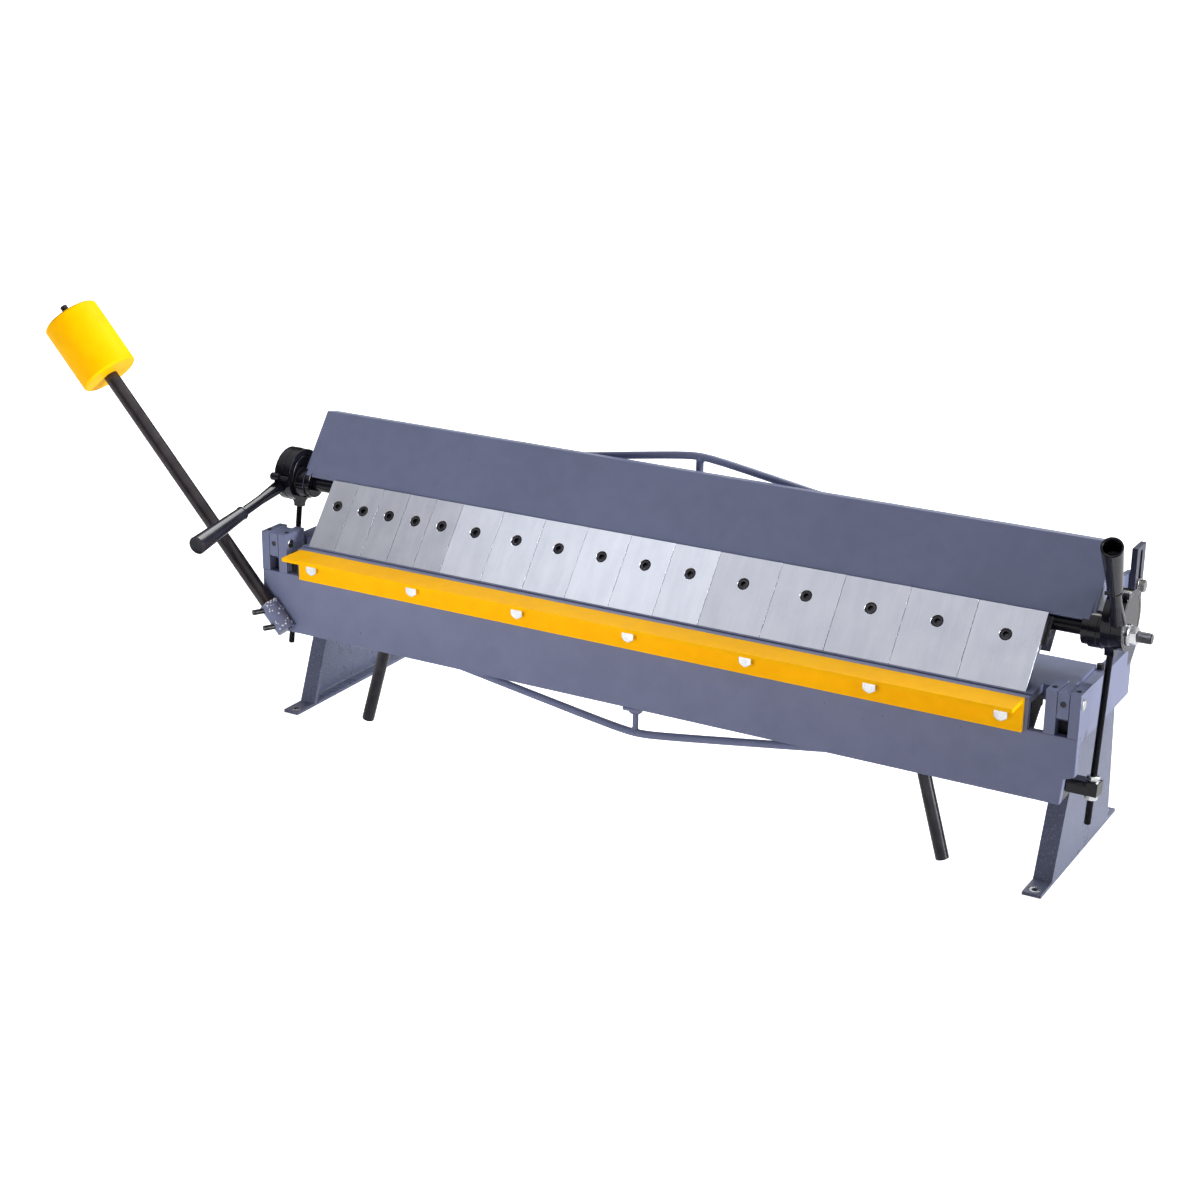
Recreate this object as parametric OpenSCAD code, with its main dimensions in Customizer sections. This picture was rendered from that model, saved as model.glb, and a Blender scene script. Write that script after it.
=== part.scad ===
// Box and pan brake: a bench folding machine with separate fingers, a hinged apron and a lifting leaf.
// X runs along the bend, Y away from the operator, Z up; the origin is the centre of the foot bolt holes.

/* [Bending width] */
// Width of each small finger
small_finger_w = 50.8; // [40:0.1:60]
// Width of each middle finger
mid_finger_w = 76.2; // [65:0.1:90]
// Width of each large finger
large_finger_w = 101.6; // [90:0.1:115]
// Seam left between neighbouring fingers
finger_seam = 0.5; // [0.2:0.1:1]

/* [Fingers] */
// Slope of the finger face above the bed, in degrees
finger_slope = 52; // [48:1:56]
// Length of the finger face from nose to top edge
finger_face = 118.7; // [110:0.1:125]
// Thickness of a finger
finger_t = 12; // [8:0.5:12]
// Setback of the nose behind the bend line
nose_setback = 2; // [1.8:0.1:2.4]
// Distance of the finger screw from the nose, along the face
screw_along = 76; // [72:1:84]
// Diameter of the finger screw's head
screw_head_d = 16; // [12:0.5:18]
// Diameter of the finger screw's shank
screw_shank_d = 10; // [6:0.5:10]

/* [Bed and side plates] */
// Height of the bed above the bench
bed_h = 296; // [280:1:320]
// Depth of the bed plate
bed_depth = 157; // [145:1:165]
// Thickness of the bed plate
bed_t = 12; // [10:0.5:16]
// Distance from the last finger to a side plate
end_gap = 50.4; // [48:0.1:60]
// Thickness of a side plate
side_t = 16.5; // [14:0.5:20]
// Height of a side plate
side_h = 75; // [65:1:85]
// Drop of the side plate's top below the bed
side_drop = 6; // [4:0.5:9]
// Rear end of a side plate behind the bend line
side_rear = 272; // [260:1:285]

/* [Stands] */
// Thickness of a stand's bent sheet
stand_t = 8; // [6:0.5:10]
// Width of the foot and of the front flange
stand_w = 28; // [26:0.5:34]
// Lean of a stand's front edge above the bench, in degrees
stand_lean = 68.7; // [66:0.1:72]
// Distance of a stand's front corner behind the bend line
stand_front = 31.6; // [20:0.1:36]
// Distance of a stand's rear corner behind the bend line
stand_rear = 287; // [280:1:295]
// Thickness of the foot strip
foot_t = 5; // [4:0.5:8]
// Distance between the foot's bolt holes
foot_pitch = 310; // [300:1:320]
// Diameter of a foot bolt hole
foot_hole_d = 9.6; // [8:0.1:11]
// Length of the foot past each bolt hole
foot_end = 14.5; // [10:0.5:20]

/* [Apron] */
// Thickness of the apron plate
apron_t = 12; // [10:0.5:14]
// Bottom edge of the apron plate below the bed
apron_bottom = 149; // [135:1:160]
// Diameter of a hinge pin
hinge_d = 16; // [12:0.5:18]
// Width of an inner hinge ear
inner_ear_w = 16; // [12:0.5:18]
// Width of an outer hinge ear
outer_ear_w = 15; // [12:0.5:17]
// Side gap between an ear and the knuckle
ear_gap = 1; // [0.5:0.1:1.5]
// Width of each leg of the angle bar
angle_w = 49.5; // [45:0.5:55]
// Thickness of the angle bar
angle_t = 6; // [5:0.5:8]
// Pitch of the angle bar's bolts
angle_bolt_pitch = 195.1; // [185:0.1:198]
// Diameter of a bending handle
handle_d = 20; // [16:0.5:22]
// Distance of a bending handle's lower end from the middle
handle_end_x = 504; // [480:0.5:520]
// Splay of the bending handles, in degrees
handle_splay = 16; // [10:0.1:20]
// Diameter of the truss rods
truss_d = 12; // [10:0.5:14]

/* [Counterweight] */
// Diameter of the counterweight
weight_d = 97; // [85:1:110]
// Length of the counterweight
weight_len = 120; // [100:1:140]
// Diameter of the counterweight rod
weight_rod_d = 24; // [20:0.5:24]
// Length of the counterweight rod from the socket's lower end to the weight
weight_rod_len = 517; // [480:1:540]
// Angle of the counterweight rod above the horizontal, in degrees
weight_rod_angle = 47.9; // [46:0.1:50]

/* [Clamping leaf] */
// Thickness of the leaf's sheet
leaf_t = 6; // [4:0.5:7]
// Overhang of the leaf past a side plate's inner face
leaf_over = 13; // [11:0.5:15]
// Thickness of a leaf end plate
end_plate_t = 9; // [7:0.5:11]
// Diameter of the clamp shaft
shaft_d = 24; // [20:0.5:26]
// Diameter of the leaf's pivot bolt
pivot_d = 10; // [8:0.5:12]
// Thickness of an upright
upright_t = 8.5; // [7:0.5:9]
// Top of an upright above the bed
upright_top = 147; // [140:1:155]
// Height of the left upright's top below the right one's
left_upright_step = 7; // [0:0.5:8]

/* [Clamp levers] */
// Throw of the left eccentric
left_throw = 12; // [10:0.1:13]
// Throw of the right eccentric
right_throw = 20; // [18:0.1:20.5]
// Diameter of the eccentric boss
boss_d = 66; // [65:0.5:68]
// Diameter of the strap round the boss
strap_d = 87; // [85:0.5:89]
// Width of the strap
strap_w = 14.5; // [12:0.5:16]
// Diameter of the lever hub
hub_d = 88; // [88:0.5:92]
// Width of the lever hub
hub_w = 15; // [14:0.5:20]
// Diameter of a lever bar
lever_d = 16; // [14:0.5:18]
// Angle of the left lever above the horizontal, in degrees
left_lever_angle = -9.3; // [-9.3:0.1:10]
// Angle of the right lever above the horizontal, in degrees
right_lever_angle = 44; // [35:0.5:60]
// Inward splay of the left lever, in degrees
left_lever_splay = 3; // [2.8:0.1:4]
// Outward splay of the right lever, in degrees
right_lever_splay = 7.5; // [0:0.5:8]
// Length of a lever from the clamp shaft to the grip's end
lever_len = 265; // [240:1:266]
// Length of a grip
grip_len = 125; // [110:1:130]
// Diameter of a grip's wide end
grip_d = 30; // [26:0.5:32]
// Diameter of an adjusting rod
rod_d = 10; // [8:0.5:12]
// Width across flats of the adjusting nuts
rod_nut_af = 17; // [15:0.5:19]

/* [Hidden] */
FINGERS = ["finger_01", "finger_02", "finger_03", "finger_04", "finger_05", "finger_06",
           "finger_07", "finger_08", "finger_09", "finger_10", "finger_11", "finger_12",
           "finger_13", "finger_14", "finger_15", "finger_16"];
$fn = 64;

GREY = [0.38, 0.4, 0.5];
BLACK = [0.06, 0.06, 0.08];
YELLOW = [1, 0.72, 0];
STEEL = [0.76, 0.77, 0.82];
ZINC = [0.85, 0.86, 0.88];
GUNMETAL = [0.25, 0.24, 0.26];

// Shared allowances
overrun = 1;      // how far a cut runs past the face that it opens
run_fit = 0.05;   // radial clearance of a pin or shaft that turns
free_fit = 0.25;  // radial clearance of a bolt that only passes through
face_gap = 0.5;   // gap between flat faces of bodies that move past each other
seat_gap = 0.02;  // gap of faces that are cut to the same outline

// Small steps and margins, named where they are used
stand_tuck = 14;
stand_step = 4;
bed_bolt_in = 5.5;
knuckle_chamfer = 4;
knuckle_slope = 8;
knuckle_toe = 2;
side_toe = 12;
side_toe_y = 14;
bar_over = 4.4;
notch_over = 6;
beam_over = 5;
beam_short = 10;
bush_proud = 20;
stack_gap = 1;
cross_pin_over = 3;
stud_proud = 34;
block_over = 11;
bracket_crown = 6;
bracket_fall = 8;
flare_rise = 5;
neck_wall = 1;
angle_bolt_drop = 1;
pin_proud = 1.5;

// Fingers along X: widths from left to right
FINGER_W = [for (i = [1:16]) i <= 5 ? small_finger_w : i <= 11 ? mid_finger_w : large_finger_w];
function sum_to(n) = n == 0 ? 0 : FINGER_W[n - 1] + sum_to(n - 1);
bend_len = sum_to(len(FINGER_W));
bend_half = bend_len / 2;
function finger_left(i) = sum_to(i) - bend_half;
function finger_mid(i) = finger_left(i) + FINGER_W[i] / 2;

// Places on the bend line frame: x along the bend, [y, z] from the bend line at the bed's top
bend_y = -foot_pitch / 2;
side_in = bend_half + end_gap;
side_out = side_in + side_t;
side_top = -side_drop;
side_bottom = side_top - side_h;
bed_lip = 1;
bed_rear = bed_depth - bed_lip;
floor_z = -bed_h;
// A point on the finger's own axes: a along the face from the nose, d behind the face
function on_face(a, d) = [nose_setback + a * cos(finger_slope) + d * sin(finger_slope),
                          a * sin(finger_slope) - d * cos(finger_slope)];

// Hinge of the apron
hinge = [-1, -1];
apron_back = -2;
apron_front = apron_back - apron_t;
apron_top = -2;
ear_in = side_in - ear_gap - inner_ear_w;
ear_out = side_out + ear_gap + outer_ear_w;
ear_top = 17;
ear_rear = 35;
ear_seat = -48;
ear_heel = -57;
ear_heel_y = 14;
ear_heel_z = -36;
bar_half = bend_half + bar_over;
notch_x = bar_half + notch_over;
knuckle_top = 16;
knuckle_rear = 30;
knuckle_drop = -22;
knuckle_screw_d = 8;
ear_screw_d = 7;
ear_screw_len = 8;
set_screw_proud = 0.8;

// Leaf: the outline of its sheet
leaf_half = side_in + leaf_over;
leaf_low = [78.6, 91.8];
leaf_peak = [149, 185.5];
leaf_ridge = [175, 180];
leaf_tail = [191, 112];
end_plate_out = leaf_half - leaf_t;
end_plate_in = end_plate_out - end_plate_t;
pivot = [273, 87];
pivot_boss_d = 40;
shaft = [92, 76];
shaft_boss_d = 46;
bush_d = 50;
rib_count = 4;
rib_t = 8;

// Finger beam on the finger's axes
beam_low = 60;
beam_step = 75;
beam_high = 121;
beam_t = 28;
beam_half = bend_half + beam_over;
beam_step_half = bend_half - beam_short;
beam_bore_depth = 14;

// Uprights
upright_in = side_out - upright_t;
upright_y0 = 253;
upright_y1 = 293;
upright_low = -31;
upright_cut = 20;
slot_low = 76;
slot_high = 136;
pivot_head_af = 17;
pivot_head_t = 7;
pivot_washer_d = 24;
pivot_washer_t = 2.5;

// Clamp stack along X, outwards from the leaf
bush_end = end_plate_out + bush_proud;
strap_in = bush_end + stack_gap;
strap_out = strap_in + strap_w;
hub_in = strap_out + face_gap;
hub_out = hub_in + hub_w;
hub_mid = hub_in + hub_w / 2;
boss_in = bush_end + face_gap;
left_throw_angle = 42;
right_throw_angle = 63;
left_boss = shaft + left_throw * [cos(left_throw_angle), sin(left_throw_angle)];
right_boss = shaft + right_throw * [cos(right_throw_angle), sin(right_throw_angle)];
strap_clear = 1.5;
stud_d = 15;
stud_end = hub_out + stud_proud;
stud_washer_d = 30;
stud_washer_t = 3;
stud_nut_af = 24;
stud_nut_t = 12;
cross_pin_d = 6.4;
cross_pin_in = strap_in - cross_pin_over;
cross_pin_head_d = 9;
cross_pin_head_t = 2;
cross_pin_rise = 12;
cross_lug_d = 13;
lever_neck_d = 23;
lever_neck_len = 60;
spigot_d = 10;
spigot_len = 14;
grip_root_d = 21;
grip_bore_d = 24;
grip_bore_depth = 40;

// Adjusting rod, from the eccentric boss to the swivel block
swivel = [66, -148];
rod_x = strap_in + strap_w / 2;
function rod_lean(boss) = atan((boss.x - swivel.x) / (boss.y - swivel.y));
function rod_reach(boss) = norm(boss - swivel);
rod_tail = 54;
strap_neck_len = 10;
strap_neck_d = 15;
strap_flare = 14;
neck_w = strap_w - 2 * face_gap;
rod_seat = 14;
block_in = side_in + stack_gap;
block_out = rod_x + block_over;
block_d = 28;
block_h = 20;
trunnion_d = 14;
rod_nut_t = 8;
bracket_t = 6;
bracket_front = 46;
bracket_low = -170;
bracket_high = -127;
bracket_nose_r = 12;

// Counterweight: the rod lies in one plane in front of the apron
weight_y = -26.3;
weight_foot = [-639, -142];
socket_d = 31;
socket_len = 54;
socket_screw_d = 9;
socket_screw_len = 34;
socket_screw_turn = 30;
socket_screw_places = [0.19, 0.77];
weight_nut_af = 19;
weight_nut_t = 9;
weight_stud_d = 12;
weight_stud_len = 12;
weight_edge = 3;

// Places things in the bend line frame
module at_bend() translate([0, bend_y, bed_h]) children();
module mirrored() {
    children();
    mirror([1, 0, 0]) children();
}
// Extrudes a [y, z] outline along X
module slab(x0, x1) translate([x0, 0, 0]) rotate([90, 0, 90]) linear_extrude(x1 - x0) children();
// A round bar along X about the point p = [y, z]
module x_bar(x0, x1, p, d) translate([x0, p.x, p.y]) rotate([0, 90, 0]) cylinder(h = x1 - x0, d = d);
// A hexagon along X about p, measured across its flats
module x_hex(x0, x1, p, af)
    translate([x0, p.x, p.y]) rotate([0, 90, 0]) cylinder(h = x1 - x0, d = af / cos(30), $fn = 6);
// A box between two corners
module block(a, b) translate(a) cube(b - a);
// A round bar between two points
module strut(a, b, d) {
    v = b - a;
    translate(a) rotate([0, acos(v.z / norm(v)), atan2(v.y, v.x)]) cylinder(h = norm(v), d = d);
}

// Stand: a sheet with a bent front flange, welded on a foot strip
stand_top = side_top - stand_tuck;
function stand_front_y(z) = stand_front + (z - floor_z - foot_t) / tan(stand_lean);
stand_shoulder = side_bottom - stand_step;
stand_rear_lean = 5.6;
module stand_side() {
    low = floor_z + foot_t;
    rear_top = stand_rear - (stand_top - low) * tan(stand_rear_lean);
    polygon([[stand_front, low], [stand_front_y(stand_shoulder), stand_shoulder],
             [stand_front_y(stand_shoulder), stand_top], [rear_top, stand_top], [stand_rear, low],
             [stand_rear, low - foot_t / 2], [stand_front, low - foot_t / 2]]);
}
module stand_flange() {
    low = floor_z + foot_t;
    run = stand_t / sin(stand_lean);
    polygon([[stand_front, low], [stand_front_y(stand_shoulder), stand_shoulder],
             [stand_front_y(stand_shoulder) + run, stand_shoulder], [stand_front + run, low],
             [stand_front + run, low - foot_t / 2], [stand_front, low - foot_t / 2]]);
}
stand_bolt_d = 10;
stand_bolt_af = 17;
stand_bolt_head = 7;
stand_bolt_places = [[140, -50], [190, -50], [240, -50]];
module stand() {
    difference() {
        union() {
            slab(side_in - stand_t, side_in) stand_side();
            slab(side_in - stand_w, side_in - stand_t) stand_flange();
        }
        for (p = stand_bolt_places)
            x_bar(side_in - stand_t - overrun, side_in + overrun, p, stand_bolt_d + 2 * free_fit);
    }
    difference() {
        block([side_in - stand_w, -foot_end, floor_z], [side_in, foot_pitch + foot_end, floor_z + foot_t]);
        for (y = [0, foot_pitch]) translate([side_in - stand_w / 2, y, floor_z - overrun])
            cylinder(h = foot_t + 2 * overrun, d = foot_hole_d);
    }
}
module left_stand() color(GREY) at_bend() mirror([1, 0, 0]) stand();
module right_stand() color(GREY) at_bend() stand();

// Side plate: carries the bed, the hinge knuckle and, in a rebate at its rear end, the upright
bed_bolt_d = 8;
bed_bolt_head_d = 10.5;
bed_bolt_head_t = 8;
bed_bolt_y = [bed_rear];
bed_bolt_x = side_in + bed_bolt_in;
bed_bolt_len = 30;
module side_plate() difference() {
    slab(side_in, side_out) polygon([
        [apron_front, knuckle_drop], [knuckle_toe, knuckle_drop - knuckle_slope],
        [knuckle_toe, side_bottom + side_toe], [side_toe_y, side_bottom],
        [side_rear, side_bottom], [side_rear, side_top], [knuckle_rear, side_top],
        [knuckle_rear, knuckle_top - knuckle_chamfer], [knuckle_rear - knuckle_chamfer, knuckle_top],
        [apron_front, knuckle_top]]);
    block([upright_in, upright_y0, upright_low], [side_out + overrun, side_rear + overrun,
        side_top + overrun]);
    x_bar(side_in - overrun, side_out + overrun, hinge, hinge_d + 2 * free_fit);
    translate([side_in + side_t / 2, apron_front - overrun, hinge.y]) rotate([-90, 0, 0])
        cylinder(h = -apron_front + overrun, d = knuckle_screw_d + 2 * free_fit);
    for (p = stand_bolt_places)
        x_bar(side_in - overrun, side_in + side_t / 2, p, stand_bolt_d + 2 * free_fit);
    for (y = bed_bolt_y) translate([bed_bolt_x, y, side_top - bed_bolt_len])
        cylinder(h = bed_bolt_len + overrun, d = bed_bolt_d + 2 * free_fit);
}
module left_side_plate() color(GREY) at_bend() mirror([1, 0, 0]) side_plate();
module right_side_plate() color(GREY) at_bend() side_plate();

// Bed: a plate notched at the inner ears, with two ribs and two end webs welded underneath
notch_y = 44;
bed_rib_t = 8;
bed_rib_h = 46;
bed_rib_y = [25, 128];
bed_web_t = 10;
bed_web = [[2, -72], [14, -72], [52, -34], [52, -bed_t], [2, -bed_t]];
module bed_plate() color(GREY) at_bend() {
    difference() {
        block([-side_in, -bed_lip, -bed_t], [side_in, bed_rear, 0]);
        mirrored() block([notch_x, -bed_lip - overrun, -bed_t - overrun],
            [side_in + overrun, notch_y, overrun]);
    }
    for (y = bed_rib_y) block([-notch_x + bed_t, y, -bed_t - bed_rib_h], [notch_x - bed_t, y + bed_rib_t,
        -bed_t]);
    mirrored() slab(notch_x - bed_t, notch_x - bed_t + bed_web_t) polygon(bed_web);
}

// Bolts of the frame: three through each stand, one down into each side plate
module frame_bolts() color(BLACK) at_bend() mirrored() {
    for (p = stand_bolt_places) {
        x_hex(side_in - stand_t - stand_bolt_head, side_in - stand_t, p, stand_bolt_af);
        x_bar(side_in - stand_t, side_in + side_t / 2, p, stand_bolt_d);
    }
    for (y = bed_bolt_y) {
        translate([bed_bolt_x, y, side_top]) cylinder(h = bed_bolt_head_t, d = bed_bolt_head_d);
        translate([bed_bolt_x, y, side_top - bed_bolt_len]) cylinder(h = bed_bolt_len, d = bed_bolt_d);
    }
}

// Upright: a slotted strip at the rear that sets the height of the leaf's pivot
module upright(top) difference() {
    slab(upright_in, side_out) polygon([
        [upright_y0, upright_low], [upright_y1 - upright_cut, upright_low],
            [upright_y1, upright_low + upright_cut],
        [upright_y1, top], [upright_y0, top]]);
    slot_d = pivot_d + 2 * free_fit;
    for (z = [slot_low, slot_high]) x_bar(upright_in - overrun, side_out + overrun, [pivot.x, z], slot_d);
    block([upright_in - overrun, pivot.x - slot_d / 2, slot_low],
          [side_out + overrun, pivot.x + slot_d / 2, slot_high]);
}
module left_upright() color(GREY) at_bend()
    mirror([1, 0, 0]) upright(upright_top - left_upright_step);
module right_upright() color(GREY) at_bend() upright(upright_top);

// Pivot bolts, clamped in the slots; the leaf's end plates turn on them
module pivot_bolts() color(ZINC) at_bend() mirrored() {
    head_in = side_out + pivot_washer_t;
    x_hex(head_in, head_in + pivot_head_t, pivot, pivot_head_af);
    x_bar(side_out, head_in, pivot, pivot_washer_d);
    x_bar(end_plate_in - face_gap - pivot_head_t, side_out, pivot, pivot_d);
    difference() {
        x_hex(end_plate_in - face_gap - pivot_head_t, end_plate_in - face_gap, pivot, pivot_head_af);
        x_bar(end_plate_in - face_gap - pivot_head_t - overrun, end_plate_in, pivot, pivot_d);
    }
}

// Hinge pins and the set screws that hold them in the knuckles
module hinge_pins() color(STEEL) at_bend() mirrored() x_bar(ear_in, ear_out + pin_proud, hinge, hinge_d);
module knuckle_screws() color(BLACK) at_bend() mirrored()
    translate([side_in + side_t / 2, apron_front - set_screw_proud, hinge.y]) rotate([-90, 0, 0])
        cylinder(h = hinge.x - hinge_d / 2 - apron_front + set_screw_proud, d = knuckle_screw_d);

// Bracket plate on each stand for the swivel block's trunnion
module rod_brackets() color(BLACK) at_bend() mirrored() difference() {
    slab(side_in - bracket_t, side_in) polygon([
        [bracket_front, bracket_low], [stand_front_y(bracket_low), bracket_low],
        [stand_front_y(bracket_high), bracket_high], [swivel.x + bracket_nose_r, bracket_high],
        [swivel.x, bracket_high + bracket_crown], [swivel.x - bracket_nose_r, bracket_high],
        [bracket_front, bracket_high - bracket_fall]]);
    x_bar(side_in - bracket_t - overrun, side_in + overrun, swivel, trunnion_d + 2 * run_fit);
}

// Clamping leaf: one bent sheet, with webs inside that carry the finger beam
function shift(p, q, t) = let (v = (q - p) / norm(q - p)) [p.x + v.y * t, p.y - v.x * t];
function cross_at(p, u, q, v) =
    let (k = ((q.x - p.x) * v.y - (q.y - p.y) * v.x) / (u.x * v.y - u.y * v.x)) p + k * u;
leaf_low_in = shift(leaf_low, leaf_peak, leaf_t);
leaf_tail_in = leaf_tail + (shift(leaf_ridge, leaf_tail, leaf_t) - leaf_ridge);
leaf_peak_in = cross_at(leaf_low_in, leaf_peak - leaf_low,
                        shift(leaf_peak, leaf_ridge, leaf_t), leaf_ridge - leaf_peak);
leaf_ridge_in = cross_at(leaf_tail_in, leaf_tail - leaf_ridge,
                         shift(leaf_peak, leaf_ridge, leaf_t), leaf_ridge - leaf_peak);
module leaf_section() polygon([leaf_low, leaf_peak, leaf_ridge, leaf_tail,
                               leaf_tail_in, leaf_ridge_in, leaf_peak_in, leaf_low_in]);
module leaf_web() polygon([leaf_low_in, (leaf_peak_in + leaf_peak) / 2,
                           (leaf_ridge_in + leaf_ridge) / 2, leaf_tail_in,
                           on_face(beam_high, finger_t + beam_t), on_face(beam_high, finger_t)]);
module clamping_leaf() color(GREY) at_bend() {
    slab(-leaf_half, leaf_half) leaf_section();
    for (i = [0:rib_count - 1]) {
        x = (i - (rib_count - 1) / 2) * bend_len / rib_count;
        slab(x - rib_t / 2, x + rib_t / 2) leaf_web();
    }
}

// End plates of the leaf, with the bush of the clamp shaft
module end_plate_section() {
    hull() {
        translate(shaft) circle(d = shaft_boss_d);
        polygon([leaf_low_in, leaf_peak_in, leaf_tail_in]);
    }
    polygon([leaf_peak_in, leaf_ridge_in, leaf_tail_in]);
    hull() {
        translate(pivot) circle(d = pivot_boss_d);
        translate([leaf_tail_in.x - pivot_boss_d, leaf_tail_in.y - pivot_boss_d / 4])
            circle(d = pivot_boss_d);
    }
}
module leaf_end_plates() color(GREY) at_bend() mirrored() difference() {
    union() {
        slab(end_plate_in, end_plate_out) end_plate_section();
        x_bar(end_plate_out, bush_end, shaft, bush_d);
    }
    slab(end_plate_out - overrun, bush_end + overrun) leaf_section();
    slab(end_plate_in - overrun, end_plate_out) offset(delta = seat_gap) leaf_section();
    x_bar(end_plate_in - overrun, bush_end + overrun, shaft, shaft_d + 2 * run_fit);
    x_bar(end_plate_in - overrun, end_plate_out + overrun, pivot, pivot_d + 2 * run_fit);
}

// Beam behind the fingers; its stepped ends hold the inner ends of the clamp shafts
module beam_slab(half, low)
    slab(-half, half) polygon([on_face(low, finger_t), on_face(beam_high, finger_t),
                               on_face(beam_high, finger_t + beam_t), on_face(low, finger_t + beam_t)]);
// Things that stand square on the finger faces, with Z out of the face
module at_screw(i) translate([finger_mid(i), on_face(screw_along, 0).x, on_face(screw_along, 0).y])
    rotate([finger_slope, 0, 0]) children();
screw_sink = 8;
screw_len = 26;
socket_af = 8;
socket_depth = 5;
bore_play = 0.5;
bore_rim = 1;
module finger_beam() color(BLACK) at_bend() difference() {
    union() {
        beam_slab(beam_half, beam_step);
        beam_slab(beam_step_half, beam_low);
    }
    mirrored() x_bar(beam_half - beam_bore_depth, beam_half + overrun, shaft, shaft_d + 2 * run_fit);
    for (i = [0:15]) at_screw(i) translate([0, 0, -screw_len - overrun])
        cylinder(h = screw_len, d = screw_shank_d + 2 * free_fit);
}

// One finger, counterbored and chamfered for its screw
module finger(i) color(STEEL) at_bend() difference() {
    slab(finger_left(i) + finger_seam / 2, finger_left(i + 1) - finger_seam / 2)
        polygon([on_face(0, 0), [on_face(0, 0).x + finger_t / sin(finger_slope), 0],
                 on_face(finger_face, finger_t), on_face(finger_face, 0)]);
    at_screw(i) {
        translate([0, 0, -screw_sink]) cylinder(h = screw_sink + overrun, d = screw_head_d + 2 * bore_play);
        translate([0, 0, -finger_t - overrun]) cylinder(h = finger_t, d = screw_shank_d + 2 * free_fit);
        translate([0, 0, -bore_rim]) cylinder(h = bore_rim + overrun, d1 = screw_head_d + 2 * bore_play,
            d2 = screw_head_d + 2 * bore_play + 2 * (bore_rim + overrun));
    }
}
module finger_screws() color(BLACK) at_bend() for (i = [0:15]) at_screw(i) difference() {
    union() {
        translate([0, 0, -screw_sink]) cylinder(h = screw_sink - set_screw_proud, d = screw_head_d);
        translate([0, 0, -screw_len]) cylinder(h = screw_len - screw_sink + overrun, d = screw_shank_d);
    }
    translate([0, 0, -socket_depth - set_screw_proud])
        cylinder(h = socket_depth + overrun, d = socket_af / cos(30), $fn = 6);
}

// Truss rod behind the leaf: a bent rod over a centre post, with tabs to the rear flange
leaf_truss_y = 197;
leaf_truss_z = 196;
leaf_truss_slope = 9.3;
leaf_truss_half = 430;
truss_tab_w = 30;
truss_tab_h = 12;
truss_weld_d = 17;
function leaf_back_y(z) =
    leaf_ridge.x + (leaf_ridge.y - z) / (leaf_ridge.y - leaf_tail.y) * (leaf_tail.x - leaf_ridge.x);
module leaf_truss() color(GREY) at_bend() {
    end_z = leaf_truss_z - leaf_truss_half * tan(leaf_truss_slope);
    post_z = leaf_ridge.y - truss_tab_w;
    mirrored() {
        strut([0, leaf_truss_y, leaf_truss_z], [leaf_truss_half, leaf_truss_y, end_z], truss_d);
        translate([leaf_truss_half - truss_tab_w, 0, 0]) slab(0, truss_tab_w) polygon([
            [leaf_back_y(end_z - truss_tab_h / 2), end_z - truss_tab_h / 2],
                [leaf_truss_y, end_z - truss_tab_h / 2],
            [leaf_truss_y, end_z + truss_tab_h / 2], [leaf_back_y(end_z + truss_tab_h / 2),
                end_z + truss_tab_h / 2]]);
    }
    translate([0, leaf_truss_y, leaf_truss_z]) sphere(d = truss_weld_d);
    strut([0, leaf_truss_y, post_z - truss_tab_h / 2], [0, leaf_truss_y, leaf_truss_z], truss_d);
    slab(-truss_tab_w / 2, truss_tab_w / 2) polygon([
        [leaf_back_y(post_z - truss_tab_h / 2), post_z - truss_tab_h / 2],
            [leaf_truss_y, post_z - truss_tab_h / 2],
        [leaf_truss_y, post_z + truss_tab_h / 2], [leaf_back_y(post_z + truss_tab_h / 2),
            post_z + truss_tab_h / 2]]);
}

// Clamp shaft with its eccentric boss; the right-hand one ends in a stud
module eccentric(boss) {
    x_bar(beam_half - beam_bore_depth + face_gap, hub_out, shaft, shaft_d);
    x_bar(boss_in, hub_in, boss, boss_d);
}
module left_eccentric() color(BLACK) at_bend() mirror([1, 0, 0]) eccentric(left_boss);
module right_eccentric() color(GUNMETAL) at_bend() {
    eccentric(right_boss);
    x_bar(hub_out, stud_end, shaft, stud_d);
}

// Washer and nut on the right-hand stud
module stud_nut() color(ZINC) at_bend() difference() {
    union() {
        x_bar(hub_out, hub_out + stud_washer_t, shaft, stud_washer_d);
        x_hex(hub_out + stud_washer_t, hub_out + stud_washer_t + stud_nut_t, shaft, stud_nut_af);
    }
    x_bar(hub_out - overrun, stud_end, shaft, stud_d + 2 * run_fit);
}

// Lever direction: angle above the horizontal and outward splay
function lever_dir(angle, splay) = [sin(splay), -cos(splay) * cos(angle), cos(splay) * sin(angle)];
function rim_reach(boss, angle) =
    let (d = [-cos(angle), sin(angle)], s = shaft - boss,
        b = s * d) -b + sqrt(b * b - s * s + hub_d * hub_d / 4);
function lever_root(boss, angle) =
    [hub_mid, shaft.x - rim_reach(boss, angle) * cos(angle), shaft.y + rim_reach(boss, angle) * sin(angle)];
module along_lever(boss, angle, splay) {
    v = lever_dir(angle, splay);
    translate(lever_root(boss, angle)) rotate([0, acos(v.z), atan2(v.y, v.x)]) children();
}
// Cross pin: it lies on the rims of hub and strap, a little above the lever
function cross_pin_at(boss, angle) =
    let (a = asin(cross_pin_rise / hub_d * 2) + angle, r = (hub_d + cross_pin_d) / 2 + strap_clear)
    [boss.x - r * cos(a), boss.y + r * sin(a)];

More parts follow.
